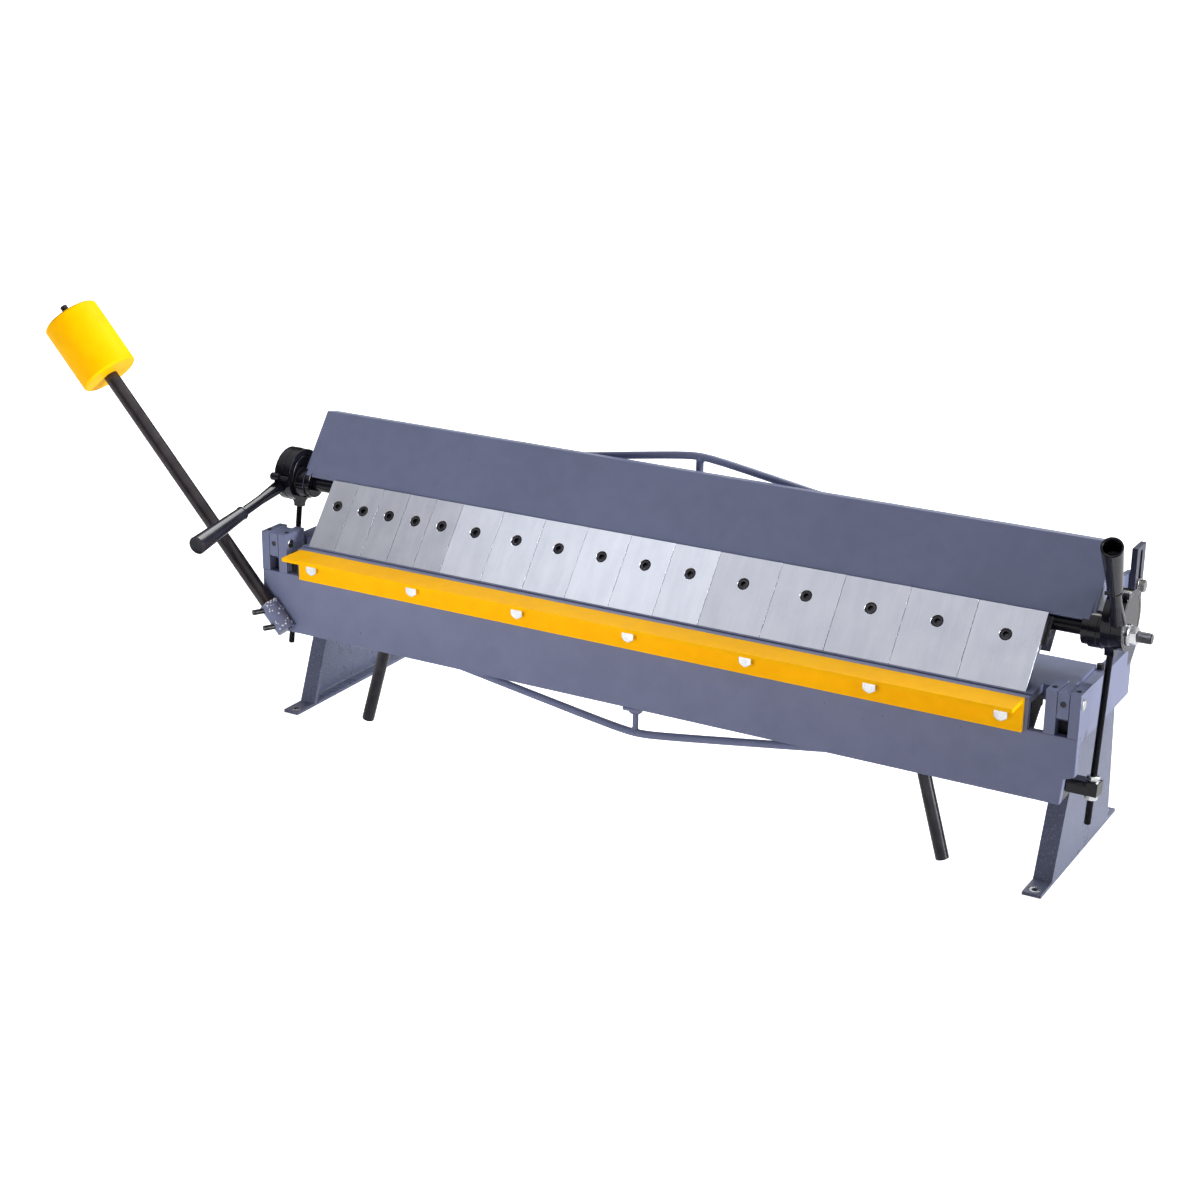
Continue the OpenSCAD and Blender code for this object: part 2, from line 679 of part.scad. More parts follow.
// Lever hub: a disc on the eccentric, with a lug for the cross pin
module hub(boss, angle, splay) {
    pin = cross_pin_at(boss, angle);
    difference() {
        union() {
            x_bar(hub_in, hub_out, boss, hub_d);
            x_bar(hub_in, hub_out, pin, cross_lug_d);
        }
        x_bar(hub_in - overrun, hub_out + overrun, shaft, shaft_d);
        along_lever(boss, angle, splay) translate([0, 0, -spigot_len])
            cylinder(h = 2 * spigot_len, d = spigot_d);
        x_bar(hub_in - overrun, hub_out + overrun, pin, cross_pin_d);
    }
    x_bar(cross_pin_in, hub_out + cross_pin_head_t, pin, cross_pin_d);
    x_bar(hub_out, hub_out + cross_pin_head_t, pin, cross_pin_head_d);
}
module left_hub() color(BLACK) at_bend() mirror([1, 0, 0]) hub(left_boss, left_lever_angle,
    -left_lever_splay);
module right_hub() color(BLACK) at_bend() hub(right_boss, right_lever_angle, right_lever_splay);

// Lever bar: a spigot in the hub, a tapered neck seated on its rim and a round bar into the grip
bar_into_grip = 60;
function bar_len(boss, angle) = lever_len - rim_reach(boss, angle) - grip_len;
module lever(boss, angle, splay) {
    difference() {
        along_lever(boss, angle, splay) {
            translate([0, 0, -lever_neck_d / 4]) cylinder(h = lever_neck_len, d1 = lever_neck_d,
                d2 = lever_d);
            cylinder(h = bar_len(boss, angle) + bar_into_grip, d = lever_d);
        }
        x_bar(hub_in - overrun, hub_out + overrun, boss, hub_d);
        x_bar(strap_in - overrun, hub_in, boss, strap_d + 2 * (strap_clear + face_gap));
        x_bar(hub_in, hub_out, cross_pin_at(boss, angle), cross_lug_d);
        x_bar(cross_pin_in - face_gap, hub_out + cross_pin_head_t + face_gap, cross_pin_at(boss, angle),
            cross_pin_head_d);
    }
    along_lever(boss, angle, splay) translate([0, 0, -spigot_len + face_gap])
        cylinder(h = 2 * spigot_len, d = spigot_d);
}
module left_lever() color(BLACK) at_bend() mirror([1, 0, 0]) lever(left_boss, left_lever_angle,
    -left_lever_splay);
module right_lever() color(BLACK) at_bend() lever(right_boss, right_lever_angle, right_lever_splay);

// Grip: a tapered sleeve, hollow at its wide end
module grip(boss, angle, splay) along_lever(boss, angle, splay) translate([0, 0, bar_len(boss, angle)])
    difference() {
    cylinder(h = grip_len, d1 = grip_root_d, d2 = grip_d);
    translate([0, 0, -overrun]) cylinder(h = bar_into_grip + overrun, d = lever_d);
    translate([0, 0, grip_len - grip_bore_depth]) cylinder(h = grip_bore_depth + overrun, d = grip_bore_d);
}
module left_grip() color(BLACK) at_bend() mirror([1, 0, 0]) grip(left_boss, left_lever_angle,
    -left_lever_splay);
module right_grip() color(GUNMETAL) at_bend() grip(right_boss, right_lever_angle, right_lever_splay);

// The link's own axes: the origin at the swivel point, Z up the rod
module on_rod(boss) translate([rod_x, swivel.x, swivel.y]) rotate([-rod_lean(boss), 0, 0]) children();

// Strap: a ring round the eccentric with a flared neck that takes the rod
module strap(boss) difference() {
    union() {
        x_bar(strap_in, strap_out, boss, strap_d);
        on_rod(boss) translate([-neck_w / 2, 0, rod_reach(boss) - strap_d / 2]) rotate([90, 0, 90])
            linear_extrude(neck_w) polygon([
                [-strap_flare, flare_rise], [-strap_neck_d / 2, -strap_neck_len / 3],
                [-rod_d / 2 - neck_wall, -strap_neck_len], [rod_d / 2 + neck_wall, -strap_neck_len],
                [strap_neck_d / 2, -strap_neck_len / 3], [strap_flare, flare_rise]]);
    }
    x_bar(strap_in - overrun, strap_out + overrun, boss, boss_d + 2 * strap_clear);
    on_rod(boss) translate([0, 0, rod_reach(boss) - strap_d / 2 - strap_neck_len - overrun])
        cylinder(h = rod_seat + overrun, d = rod_d);
}
module left_strap() color(BLACK) at_bend() mirror([1, 0, 0]) strap(left_boss);
module right_strap() color(BLACK) at_bend() strap(right_boss);

// Adjusting rod, screwed into the strap and held in the block by two nuts
module rod(boss) on_rod(boss) translate([0, 0, -rod_tail])
    cylinder(h = rod_tail + rod_reach(boss) - strap_d / 2 - strap_neck_len + rod_seat, d = rod_d);
module left_rod() color(BLACK) at_bend() mirror([1, 0, 0]) rod(left_boss);
module right_rod() color(BLACK) at_bend() rod(right_boss);

// Nuts above and below the block
module rod_nuts(boss) on_rod(boss) for (z = [block_h / 2, -block_h / 2 - rod_nut_t]) difference() {
    translate([0, 0, z]) cylinder(h = rod_nut_t, d = rod_nut_af / cos(30), $fn = 6);
    translate([0, 0, z - overrun]) cylinder(h = rod_nut_t + 2 * overrun, d = rod_d);
}
module left_rod_nuts() color(ZINC) at_bend() mirror([1, 0, 0]) rod_nuts(left_boss);
module right_rod_nuts() color(ZINC) at_bend() rod_nuts(right_boss);

// Swivel block: it turns on its trunnion in the bracket plate
module swivel_block(boss) difference() {
    union() {
        on_rod(boss) block([block_in - rod_x, -block_d / 2, -block_h / 2],
                           [block_out - rod_x, block_d / 2, block_h / 2]);
        x_bar(side_in - bracket_t, block_in + stack_gap, swivel, trunnion_d);
    }
    on_rod(boss) translate([0, 0, -block_h]) cylinder(h = 2 * block_h, d = rod_d);
}
module left_swivel_block() color(BLACK) at_bend() mirror([1, 0, 0]) swivel_block(left_boss);
module right_swivel_block() color(BLACK) at_bend() swivel_block(right_boss);

// Apron plate: cut down at its ends for the ears, stepped at its lower corners
corner_top = -104;
corner_low = -110;
corner_in = 15;
corner_foot = 18.5;
module apron_plate() color(GREY) at_bend() translate([0, apron_back, 0]) rotate([90, 0, 0])
    linear_extrude(apron_t)
    polygon([for (s = [1, -1]) each [for (p = (s > 0 ? [
        [notch_x, apron_top], [notch_x, ear_seat], [ear_out, ear_seat], [ear_out, corner_top],
        [ear_out - corner_in, corner_low], [ear_out - corner_foot, -apron_bottom]] : [
        [ear_out - corner_foot, -apron_bottom], [ear_out - corner_in, corner_low], [ear_out, corner_top],
        [ear_out, ear_seat], [notch_x, ear_seat], [notch_x, apron_top]])) [s * p.x, p.y]]]);

// Hinge ears, seated on the apron plate's ends
module ear(x0, x1) slab(x0, x1) polygon([
    [apron_front, ear_seat], [apron_back, ear_seat], [apron_back, ear_heel], [ear_heel_y, ear_heel],
    [ear_rear, ear_heel_z], [ear_rear, ear_top], [apron_front, ear_top]]);
module apron_ears() color(GREY) at_bend() mirrored() difference() {
    union() {
        ear(ear_in, ear_in + inner_ear_w);
        ear(ear_out - outer_ear_w, ear_out);
    }
    x_bar(ear_in - overrun, ear_out + overrun, hinge, hinge_d + 2 * run_fit);
    for (x = [ear_in + inner_ear_w / 2, ear_out - outer_ear_w / 2])
        translate([x, hinge.x, ear_top - ear_screw_len]) cylinder(h = ear_screw_len + overrun,
            d = ear_screw_d);
}

// Angle bar bolted along the apron's top edge
module angle_bolt_places() for (i = [-3:3])
    translate([i * angle_bolt_pitch, apron_front, apron_top - angle_w / 2 - angle_bolt_drop])
        rotate([90, 0, 0]) children();
angle_bolt_d = 8;
angle_bolt_af = 19.5;
angle_bolt_head = 7;
module angle_bar() color(YELLOW) at_bend() difference() {
    slab(-bar_half, bar_half) polygon([
        [apron_front, apron_top], [apron_front, apron_top - angle_w],
            [apron_front - angle_t, apron_top - angle_w],
        [apron_front - angle_t, apron_top - angle_t], [apron_front - angle_w, apron_top - angle_t],
        [apron_front - angle_w, apron_top]]);
    angle_bolt_places() translate([0, 0, -overrun]) cylinder(h = angle_t + 2 * overrun, d = angle_bolt_d);
}
module angle_bar_bolts() color(ZINC) at_bend() angle_bolt_places() {
    cylinder(h = angle_t, d = angle_bolt_d);
    translate([0, 0, angle_t]) cylinder(h = angle_bolt_head, d = angle_bolt_af / cos(30), $fn = 6);
}

// Truss rod below the apron: bent over a centre post, welded behind the plate
apron_truss_z = -195;
apron_truss_slope = 8.7;
apron_truss_half = 430;
truss_pad_w = 27;
truss_pad_t = 5;
truss_nut_af = 19;
truss_nut_t = 8;
module apron_truss() color(GREY) at_bend() {
    y = apron_back + truss_d / 2;
    mirrored() strut([0, y, apron_truss_z], [apron_truss_half, y, apron_truss_z + apron_truss_half
        * tan(apron_truss_slope)], truss_d);
    translate([0, y, apron_truss_z]) sphere(d = truss_weld_d);
    strut([0, y, apron_truss_z], [0, y, -apron_bottom], truss_d);
    block([-truss_pad_w / 2, apron_front, -apron_bottom - truss_pad_t],
        [truss_pad_w / 2, y + truss_d / 2, -apron_bottom]);
    translate([0, y, -apron_bottom - truss_pad_t - truss_nut_t])
        cylinder(h = truss_nut_t, d = truss_nut_af, $fn = 6);
}

// Bending handles, welded behind the apron plate and splayed outwards
handle_end_z = -282;
handle_top_z = -100;
module bending_handles() color(GUNMETAL) at_bend() mirrored() {
    y = apron_back + handle_d / 2;
    top_x = handle_end_x - (handle_top_z - handle_end_z) * tan(handle_splay);
    strut([top_x, y, handle_top_z], [handle_end_x, y, handle_end_z], handle_d);
}

// The counterweight rod's own axes: the origin at the socket's lower end, Z up the rod
module on_weight_rod() translate([weight_foot.x, weight_y, weight_foot.y])
    rotate([0, weight_rod_angle - 90, 0]) children();
module counterweight_socket() color(GREY) at_bend() difference() {
    on_weight_rod() cylinder(h = socket_len, d = socket_d);
    on_weight_rod() translate([0, 0, -overrun]) cylinder(h = socket_len + 2 * overrun, d = weight_rod_d);
    block([-ear_out, apron_front, -apron_bottom], [-bar_half + end_gap, apron_back, apron_top]);
    socket_screws();
}
// Set screws of the socket: level, and turned towards the operator's left
module socket_screws() difference() {
    for (s = socket_screw_places) {
        root = [weight_foot.x - s * socket_len * cos(weight_rod_angle), weight_y,
                weight_foot.y + s * socket_len * sin(weight_rod_angle)];
        strut(root, root - socket_screw_len * [sin(socket_screw_turn), cos(socket_screw_turn), 0],
            socket_screw_d);
    }
    on_weight_rod() translate([0, 0, -overrun]) cylinder(h = socket_len + 2 * overrun, d = weight_rod_d);
}
module counterweight_rod() color(GUNMETAL) at_bend() on_weight_rod() {
    cylinder(h = weight_rod_len, d = weight_rod_d);
    translate([0, 0, weight_rod_len]) cylinder(h = weight_len + weight_nut_t + weight_stud_len,
        d = weight_stud_d);
}
module counterweight() color(YELLOW) at_bend() on_weight_rod() translate([0, 0, weight_rod_len])
    difference() {
    rotate_extrude($fn = 96) polygon([
        [weight_stud_d / 2, 0], [weight_d / 2 - weight_edge, 0], [weight_d / 2, weight_edge],
        [weight_d / 2, weight_len - weight_edge], [weight_d / 2 - weight_edge, weight_len],
        [weight_stud_d / 2, weight_len]]);
}

// Small screws of the apron: in the ears' tops and in the counterweight socket, and the counterweight's nut
module apron_screws() color(BLACK) at_bend() {
    mirrored() for (x = [ear_in + inner_ear_w / 2, ear_out - outer_ear_w / 2])
        translate([x, hinge.x, ear_top - ear_screw_len])
            cylinder(h = ear_screw_len + set_screw_proud, d = ear_screw_d);
    socket_screws();
    on_weight_rod() translate([0, 0, weight_rod_len + weight_len]) difference() {
        cylinder(h = weight_nut_t, d = weight_nut_af / cos(30), $fn = 6);
        translate([0, 0, -overrun]) cylinder(h = weight_nut_t + 2 * overrun, d = weight_stud_d);
    }
}

left_stand();
right_stand();
left_side_plate();
right_side_plate();
bed_plate();
frame_bolts();
left_upright();
right_upright();
pivot_bolts();
hinge_pins();
knuckle_screws();
rod_brackets();
clamping_leaf();
leaf_end_plates();
finger_beam();
for (i = [0:15]) finger(i);
finger_screws();
leaf_truss();
left_eccentric();
left_hub();
left_lever();
left_grip();
right_eccentric();
right_hub();
right_lever();
right_grip();
stud_nut();
left_strap();
left_rod();
left_rod_nuts();
left_swivel_block();
right_strap();
right_rod();
right_rod_nuts();
right_swivel_block();
apron_plate();
apron_ears();
apron_screws();
angle_bar();
angle_bar_bolts();
apron_truss();
bending_handles();
counterweight_socket();
counterweight_rod();
counterweight();
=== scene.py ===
import bpy
import bmesh
import random
from math import radians, sin, cos, tan, pi, sqrt
from mathutils import Matrix, Vector


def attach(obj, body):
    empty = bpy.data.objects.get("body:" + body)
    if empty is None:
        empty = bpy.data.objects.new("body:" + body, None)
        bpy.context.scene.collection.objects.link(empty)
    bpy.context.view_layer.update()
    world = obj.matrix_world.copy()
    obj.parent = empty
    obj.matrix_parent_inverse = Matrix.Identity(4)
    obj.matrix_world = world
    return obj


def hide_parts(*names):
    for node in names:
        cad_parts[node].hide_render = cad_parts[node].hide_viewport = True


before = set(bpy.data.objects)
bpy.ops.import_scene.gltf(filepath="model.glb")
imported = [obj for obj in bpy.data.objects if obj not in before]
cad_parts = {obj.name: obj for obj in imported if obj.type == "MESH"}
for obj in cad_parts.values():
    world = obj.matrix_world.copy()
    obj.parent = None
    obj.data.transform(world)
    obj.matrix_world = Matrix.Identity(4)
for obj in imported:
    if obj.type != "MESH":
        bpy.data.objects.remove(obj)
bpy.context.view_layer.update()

# Stands: sheet steel with a bent front flange, welded on a foot strip, in blue-grey enamel. The flange
# and foot were sprayed thick, so their coat is pebbled, and the bolts have rubbed the foot bare round
# its holes.
BEND_Y, BED_H = -155.0, 296.0


def place(x, y, z):
    """A place in mm along the bend, back from its line and up from the bed, as a point in metres."""
    return Vector((x, y + BEND_Y, z + BED_H)) / 1000


class Wire:
    """A value inside a finish. Sums and products of it add the nodes that work them out."""

    def __init__(self, tree, socket=None):
        self.tree, self.socket = tree, socket

    def node(self, kind, sockets=(), out=0, **settings):
        """Adds a node of this kind: its settings first, then the values or wires of its sockets."""
        made = self.tree.nodes.new(kind)
        for key, value in settings.items():
            setattr(made, key, value)
        for key, value in dict(sockets).items():
            if isinstance(value, Wire):
                self.tree.links.new(value.socket, made.inputs[key])
            else:
                made.inputs[key].default_value = value
        return Wire(self.tree, made.outputs[out])

    def math(self, operation, a, b):
        return self.node("ShaderNodeMath", {0: a, 1: b}, operation=operation)

    def __add__(self, other):
        return self.math("ADD", self, other)

    __radd__ = __add__

    def __sub__(self, other):
        return self.math("SUBTRACT", self, other)

    def __rsub__(self, other):
        return self.math("SUBTRACT", other, self)

    def __mul__(self, other):
        return self.math("MULTIPLY", self, other)

    __rmul__ = __mul__

    def noise(self, scale, detail=2.0, rough=0.5, at=None):
        """Cloudy noise on the piece's own coordinates, or on others."""
        at = at or self.node("ShaderNodeTexCoord", out="Object")
        return self.node("ShaderNodeTexNoise",
                         {"Vector": at, "Scale": scale, "Detail": detail, "Roughness": rough})

    def step(self, low, high):
        """0 below low, 1 above high and a smooth rise between them."""
        return self.node("ShaderNodeMapRange", {"Value": self, "From Min": low, "From Max": high},
                         interpolation_type="SMOOTHSTEP")

    def blend(self, a, b):
        """Colour a where this value is 0, colour b where it is 1."""
        return self.node("ShaderNodeMix", {0: self, 6: a, 7: b}, out=2, data_type="RGBA")


def finish(name, metal=0.0, level=0.5):
    """A new material, its shader and a wire to draw its nodes with."""
    made = bpy.data.materials.new(name)
    made.use_nodes = True
    shader = made.node_tree.nodes["Principled BSDF"]
    shader.inputs["Metallic"].default_value = metal
    shader.inputs["Specular IOR Level"].default_value = level
    return made, shader, Wire(made.node_tree)


def wear(shader, wire, colour, rough, height, strength, depth):
    """Joins a finish's colour, roughness and relief to its shader."""
    normal = wire.node("ShaderNodeBump", {"Height": height, "Strength": strength, "Distance": depth})
    for key, value in (("Base Color", colour), ("Roughness", rough), ("Normal", normal)):
        wire.tree.links.new(value.socket, shader.inputs[key])


def enamel(name, dark, light, dull=0.3, pebble=0.0, pebble_scale=420.0, level=0.25):
    """Sprayed enamel: soft clouds, a few chips, fine orange peel and, where thick, pebbles."""
    made, shader, wire = finish(name, level=level)
    clouds = wire.noise(5.0, 3.0) * 0.6 + wire.noise(38.0, 4.0) * 0.4
    specks = wire.noise(pebble_scale, 2.0, 0.6)
    colour = clouds.step(0.35, 0.65).blend(dark + (1,), light + (1,))
    if pebble:
        spots = specks.step(0.55, 0.68) * (0.45 * pebble)
        colour = spots.blend(colour, tuple(min(1, c * 2.4 + 0.08) for c in light) + (1,))
    chips = wire.noise(75.0, 3.0, 0.7).step(0.735, 0.75)
    colour = (chips * 0.6).blend(colour, tuple(c * 0.35 for c in dark) + (1,))
    dust = wire.noise(150.0, 5.0, 0.7).step(0.55, 0.8)
    rough = dull + (clouds - 0.5) * 0.16 + dust * 0.05 + chips * 0.2
    relief = wire.noise(260.0, 1.0) * 0.25 + specks * (0.15 + 2.2 * pebble) - chips * 0.3
    wear(shader, wire, colour, rough, relief, 0.35, 0.0006)
    return made


def placed(bm, name, body, finish_made, edge=0.0, segments=2, nodes=(), limit=32):
    """Turns a bmesh into a piece that rides on its body, with its edges rounded by edge mm."""
    mesh = bpy.data.meshes.new(name)
    for face in bm.faces:
        face.smooth = True
    bm.to_mesh(mesh)
    bm.free()
    piece = bpy.data.objects.new(name, mesh)
    bpy.context.scene.collection.objects.link(piece)
    mesh.materials.append(finish_made)
    mesh.set_sharp_from_angle(angle=radians(32))
    if edge:
        rounding = piece.modifiers.new("edges", "BEVEL")
        rounding.width, rounding.segments = edge / 1000, segments
        rounding.limit_method, rounding.angle_limit = "ANGLE", radians(limit)
        rounding.use_clamp_overlap = True
    flat = piece.modifiers.new("flat_faces", "WEIGHTED_NORMAL")
    flat.keep_sharp, flat.weight = True, 90
    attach(piece, body)
    if nodes:
        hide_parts(*nodes)
    return piece


def eased(node, body, finish_made, edge=1.0, segments=2, limit=32):
    """A node's own solid with its loose triangles welded and its sharp edges rounded by edge mm."""
    bm = bmesh.new()
    bm.from_mesh(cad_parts[node].data)
    bmesh.ops.remove_doubles(bm, verts=bm.verts, dist=0.000004)
    bmesh.ops.dissolve_limit(bm, angle_limit=radians(0.6), verts=bm.verts, edges=bm.edges)
    return placed(bm, node + "_made", body, finish_made, edge, segments, (node,), limit)


def joined(bm, part, centre, axis):
    """Adds a part drawn in mm about Z to a bmesh, with its Z along the axis and its origin at centre."""
    turn = Vector(axis).to_track_quat("Z", "Y").to_matrix().to_4x4()
    stand = Matrix.Translation(centre) @ turn @ Matrix.Scale(0.001, 4)
    bmesh.ops.transform(part, matrix=stand, verts=part.verts)
    bmesh.ops.recalc_face_normals(part, faces=part.faces)
    spare = bpy.data.meshes.new("spare")
    part.to_mesh(spare)
    part.free()
    bm.from_mesh(spare)
    bpy.data.meshes.remove(spare)


def turned_part(bm, centre, axis, outline, steps=48):
    """A turned part: an open outline of (radius, height) pairs in mm, spun about its axis."""
    part = bmesh.new()
    spine = [part.verts.new((r, 0, h)) for r, h in outline]
    edges = [part.edges.new(pair) for pair in zip(spine, spine[1:])]
    bmesh.ops.spin(part, geom=spine + edges, cent=(0, 0, 0), axis=(0, 0, 1), angle=2 * pi, steps=steps,
                   use_merge=True)
    bmesh.ops.remove_doubles(part, verts=part.verts, dist=0.0001)
    joined(bm, part, centre, axis)


def bare_metal(name, dark, light, dull):
    """Bare or plated steel: slightly mottled, with fine marks from its making."""
    made, shader, wire = finish(name, metal=1.0)
    mottle = wire.noise(60.0, 4.0) * 0.6 + wire.noise(400.0, 2.0) * 0.4
    colour = mottle.step(0.35, 0.65).blend(dark + (1,), light + (1,))
    wear(shader, wire, colour, dull + (mottle - 0.5) * 0.25, wire.noise(400.0, 3.0), 0.12, 0.0003)
    return made


grey = enamel("grey_enamel", (0.148, 0.166, 0.272), (0.168, 0.188, 0.304), 0.34)
# Darker than the grey enamel as painted shade on the stands and their foot welds; the pebbles and specks are
# the coat's own.
shaded_pebbled = enamel("shaded_pebbled_enamel", (0.088, 0.098, 0.155), (0.104, 0.115, 0.178), 0.28,
                      pebble=1.0, pebble_scale=640.0)
bright = bare_metal("bright_steel", (0.62, 0.63, 0.66), (0.85, 0.86, 0.88), 0.2)
SIDES = ((-1, "left"), (1, "right"))
FOOT_X, FOOT_HOLES, FOOT_TOP = 646.0, (0.0, 310.0), -291.0
for s, side in SIDES:
    eased(side + "_stand", "frame", shaded_pebbled, 1.0)
    bm = bmesh.new()
    for y in FOOT_HOLES:
        turned_part(bm, place(s * FOOT_X, y, FOOT_TOP), (0, 0, 1),
                    [(4.9, -0.4), (4.9, 0.25), (8.2, 0.25), (8.6, -0.2)])
    placed(bm, side + "_foot_bare_rings", "frame", bright)


# Side plates, bed and uprights: thick plates in the same enamel. The side plates end in the hinge
# knuckles, and each holds an upright in a rebate. The uprights are a darker copy of the enamel as painted
# shade, and the pockets at the bed's ends are lined with thin black plates as painted shadow.
def slab(bm, centre, size):
    """Adds a box to a bmesh, with its centre and its size in mm."""
    made = bmesh.ops.create_cube(bm, size=1.0)["verts"]
    bmesh.ops.scale(bm, vec=Vector(size) / 1000, verts=made)
    bmesh.ops.translate(bm, vec=place(*centre), verts=made)


for node in ("left_side_plate", "right_side_plate"):
    eased(node, "frame", grey, 1.3)
eased("bed_plate", "frame", grey, 0.8)
# A darker copy of the grey enamel for the uprights, as painted shade.
upright_shade = enamel("upright_painted_shade", (0.038, 0.042, 0.066), (0.050, 0.056, 0.086), 0.32)
for node in ("left_upright", "right_upright"):
    eased(node, "frame", upright_shade, 0.9)
# Near-black enamel for thin plates laid in recesses that are in shade: painted shadow.
shadow_black = enamel("painted_shadow_black", (0.006, 0.007, 0.011), (0.012, 0.013, 0.019), 0.4, level=0.12)
WEB_OUT, WEB_FRONT, WEB_REAR, WEB_TOP, WEB_BOTTOM = 618.3, 2.2, 51.5, -12.5, -71.6
KNUCKLE_MID, SIDE_IN = 668.2, 659.9
for s, side in SIDES:
    # A thin black plate over the bed's end web, as painted shadow.
    bm = bmesh.new()
    outline = [(WEB_FRONT, WEB_TOP), (WEB_FRONT, WEB_BOTTOM), (13.8, WEB_BOTTOM)]
    for i in range(1, 11):
        a = radians(9 * i)
        outline.append((WEB_REAR - 37.5 * cos(a), WEB_BOTTOM + 37.8 * sin(a)))
    outline.append((WEB_REAR, WEB_TOP))
    face = bm.faces.new([bm.verts.new(place(s * WEB_OUT, y, z)) for y, z in outline])
    grown = bmesh.ops.extrude_face_region(bm, geom=[face])["geom"]
    grown = [g for g in grown if isinstance(g, bmesh.types.BMVert)]
    bmesh.ops.translate(bm, verts=grown, vec=(s * 0.001, 0, 0))
    bmesh.ops.recalc_face_normals(bm, faces=bm.faces)
    placed(bm, side + "_web_shadow_plate", "frame", shadow_black)
    # Thin black plates in the recess under the knuckle and on the side plate's inner face, as painted shadow.
    bm = bmesh.new()
    slab(bm, (s * KNUCKLE_MID, 1.3, -47.5), (15.5, 1.2, 33))
    slab(bm, (s * SIDE_IN, 66, -53), (0.4, 100, 84))
    placed(bm, side + "_pocket_shadow_plates", "frame", shadow_black)


# Welds: ripples of filler along the joints, painted over with the parts that they join. Each is a
# ring carried along the joint, swelling and shrinking from ripple to ripple.
def carried(path, radii, sides):
    """A ring carried along a path of points in metres, with its radius in mm at each, and closed ends."""
    bm = bmesh.new()
    ahead = [(path[min(i + 1, len(path) - 1)] - path[max(i - 1, 0)]).normalized() for i in range(len(path))]
    turn = ahead[0].to_track_quat("Z", "Y").to_matrix()
    ring = bmesh.ops.create_circle(bm, segments=sides, radius=1.0)["verts"]
    edges = list(dict.fromkeys(e for v in ring for e in v.link_edges))
    start = list(edges)
    before = Matrix.Identity(4)
    for i, point in enumerate(path):
        if i:
            turn = ahead[i - 1].rotation_difference(ahead[i]).to_matrix() @ turn
            grown = bmesh.ops.extrude_edge_only(bm, edges=edges)["geom"]
            ring = [g for g in grown if isinstance(g, bmesh.types.BMVert)]
            edges = [g for g in grown
                     if isinstance(g, bmesh.types.BMEdge) and all(v in ring for v in g.verts)]
        now = Matrix.Translation(point) @ turn.to_4x4() @ Matrix.Scale(radii[i] / 1000, 4)
        bmesh.ops.transform(bm, matrix=now @ before.inverted(), verts=ring)
        before = now
    for loop in (start, edges):
        bmesh.ops.edgeloop_fill(bm, edges=loop)
    bmesh.ops.recalc_face_normals(bm, faces=bm.faces)
    return bm


def weld(name, body, finish_made, path, size):
    """A weld bead along a path of points in millimetres."""
    points = [place(*p) for p in path]
    run, radii = [], []
    for a, b in zip(points, points[1:]):
        count = max(2, int((b - a).length / 0.0011))
        for i in range(count + (b is points[-1])):
            run.append(a.lerp(b, i / count))
            n = len(run)
            radii.append(size * (0.86 + 0.14 * sin(n * 1.9) + 0.07 * sin(n * 0.61 + size)))
    radii[0] = radii[-1] = size * 0.45
    placed(carried(run, radii, 8), name, body, finish_made)


UPRIGHT_FRONT = 251.6
for s, side in SIDES:
    along_foot = [(s * 651.6, 40 + 27 * i, FOOT_TOP + 0.4) for i in range(10)]
    weld(side + "_foot_weld", "frame", shaded_pebbled, along_foot, 1.9)
    up_front = [(s * 670, UPRIGHT_FRONT, z) for z in (-6, 0, 6, 12)]
    weld(side + "_upright_weld", "frame", grey, up_front, 2.6)
    under_upright = [(s * 666.6, UPRIGHT_FRONT + 1.4 + 6 * i, -4.4) for i in range(4)]
    weld(side + "_upright_seat_weld", "frame", grey, under_upright, 3.2)


# Frame bolts: hexagon heads inside the stands and round heads beside the bed, blacked. The knuckle
# set screws are blacked too, and the hinge pins are turned steel with bright, dished ends.
def cast_black(name, dark=(0.004, 0.004, 0.007), dull=0.11, lumps=1.0, level=0.35):
    """Black gloss enamel on rough castings and bar: deep, with a slow lumpiness that bends highlights."""
    made, shader, wire = finish(name, level=level)
    clouds = wire.noise(30.0, 3.0)
    colour = clouds.step(0.3, 0.7).blend(dark + (1,), tuple(c * 2.0 for c in dark) + (1,))
    rough = dull + (wire.noise(90.0, 3.0) - 0.5) * 0.16
    relief = wire.noise(120.0, 2.0) * lumps + wire.noise(500.0, 2.0) * 0.25
    wear(shader, wire, colour, rough, relief, 0.3, 0.0008)
    return made


black = cast_black("black_enamel")
blacked = bare_metal("blacked_screws", (0.03, 0.03, 0.035), (0.07, 0.07, 0.08), 0.3)
turned = bare_metal("turned_steel", (0.40, 0.38, 0.37), (0.55, 0.53, 0.51), 0.3)
eased("frame_bolts", "frame", blacked, 0.6)
eased("knuckle_screws", "frame", blacked, 0.8)
eased("hinge_pins", "frame", turned, 1.0)
eased("rod_brackets", "frame", black, 0.8)
PIN_OUT, PIN_IN, HINGE = 694.0, 643.0, (-1.0, -1.0)
bm = bmesh.new()
for s in (-1, 1):
    turned_part(bm, place(s * PIN_OUT, *HINGE), (s, 0, 0), [(0, 0.02), (6.0, 0.02), (6.9, 0.02), (6.9, -0.4)])
    turned_part(bm, place(s * PIN_IN, *HINGE), (-s, 0, 0), [(0, 0.12), (6.6, 0.12), (7.2, -0.3)])
placed(bm, "hinge_pin_ends", "frame", bright)


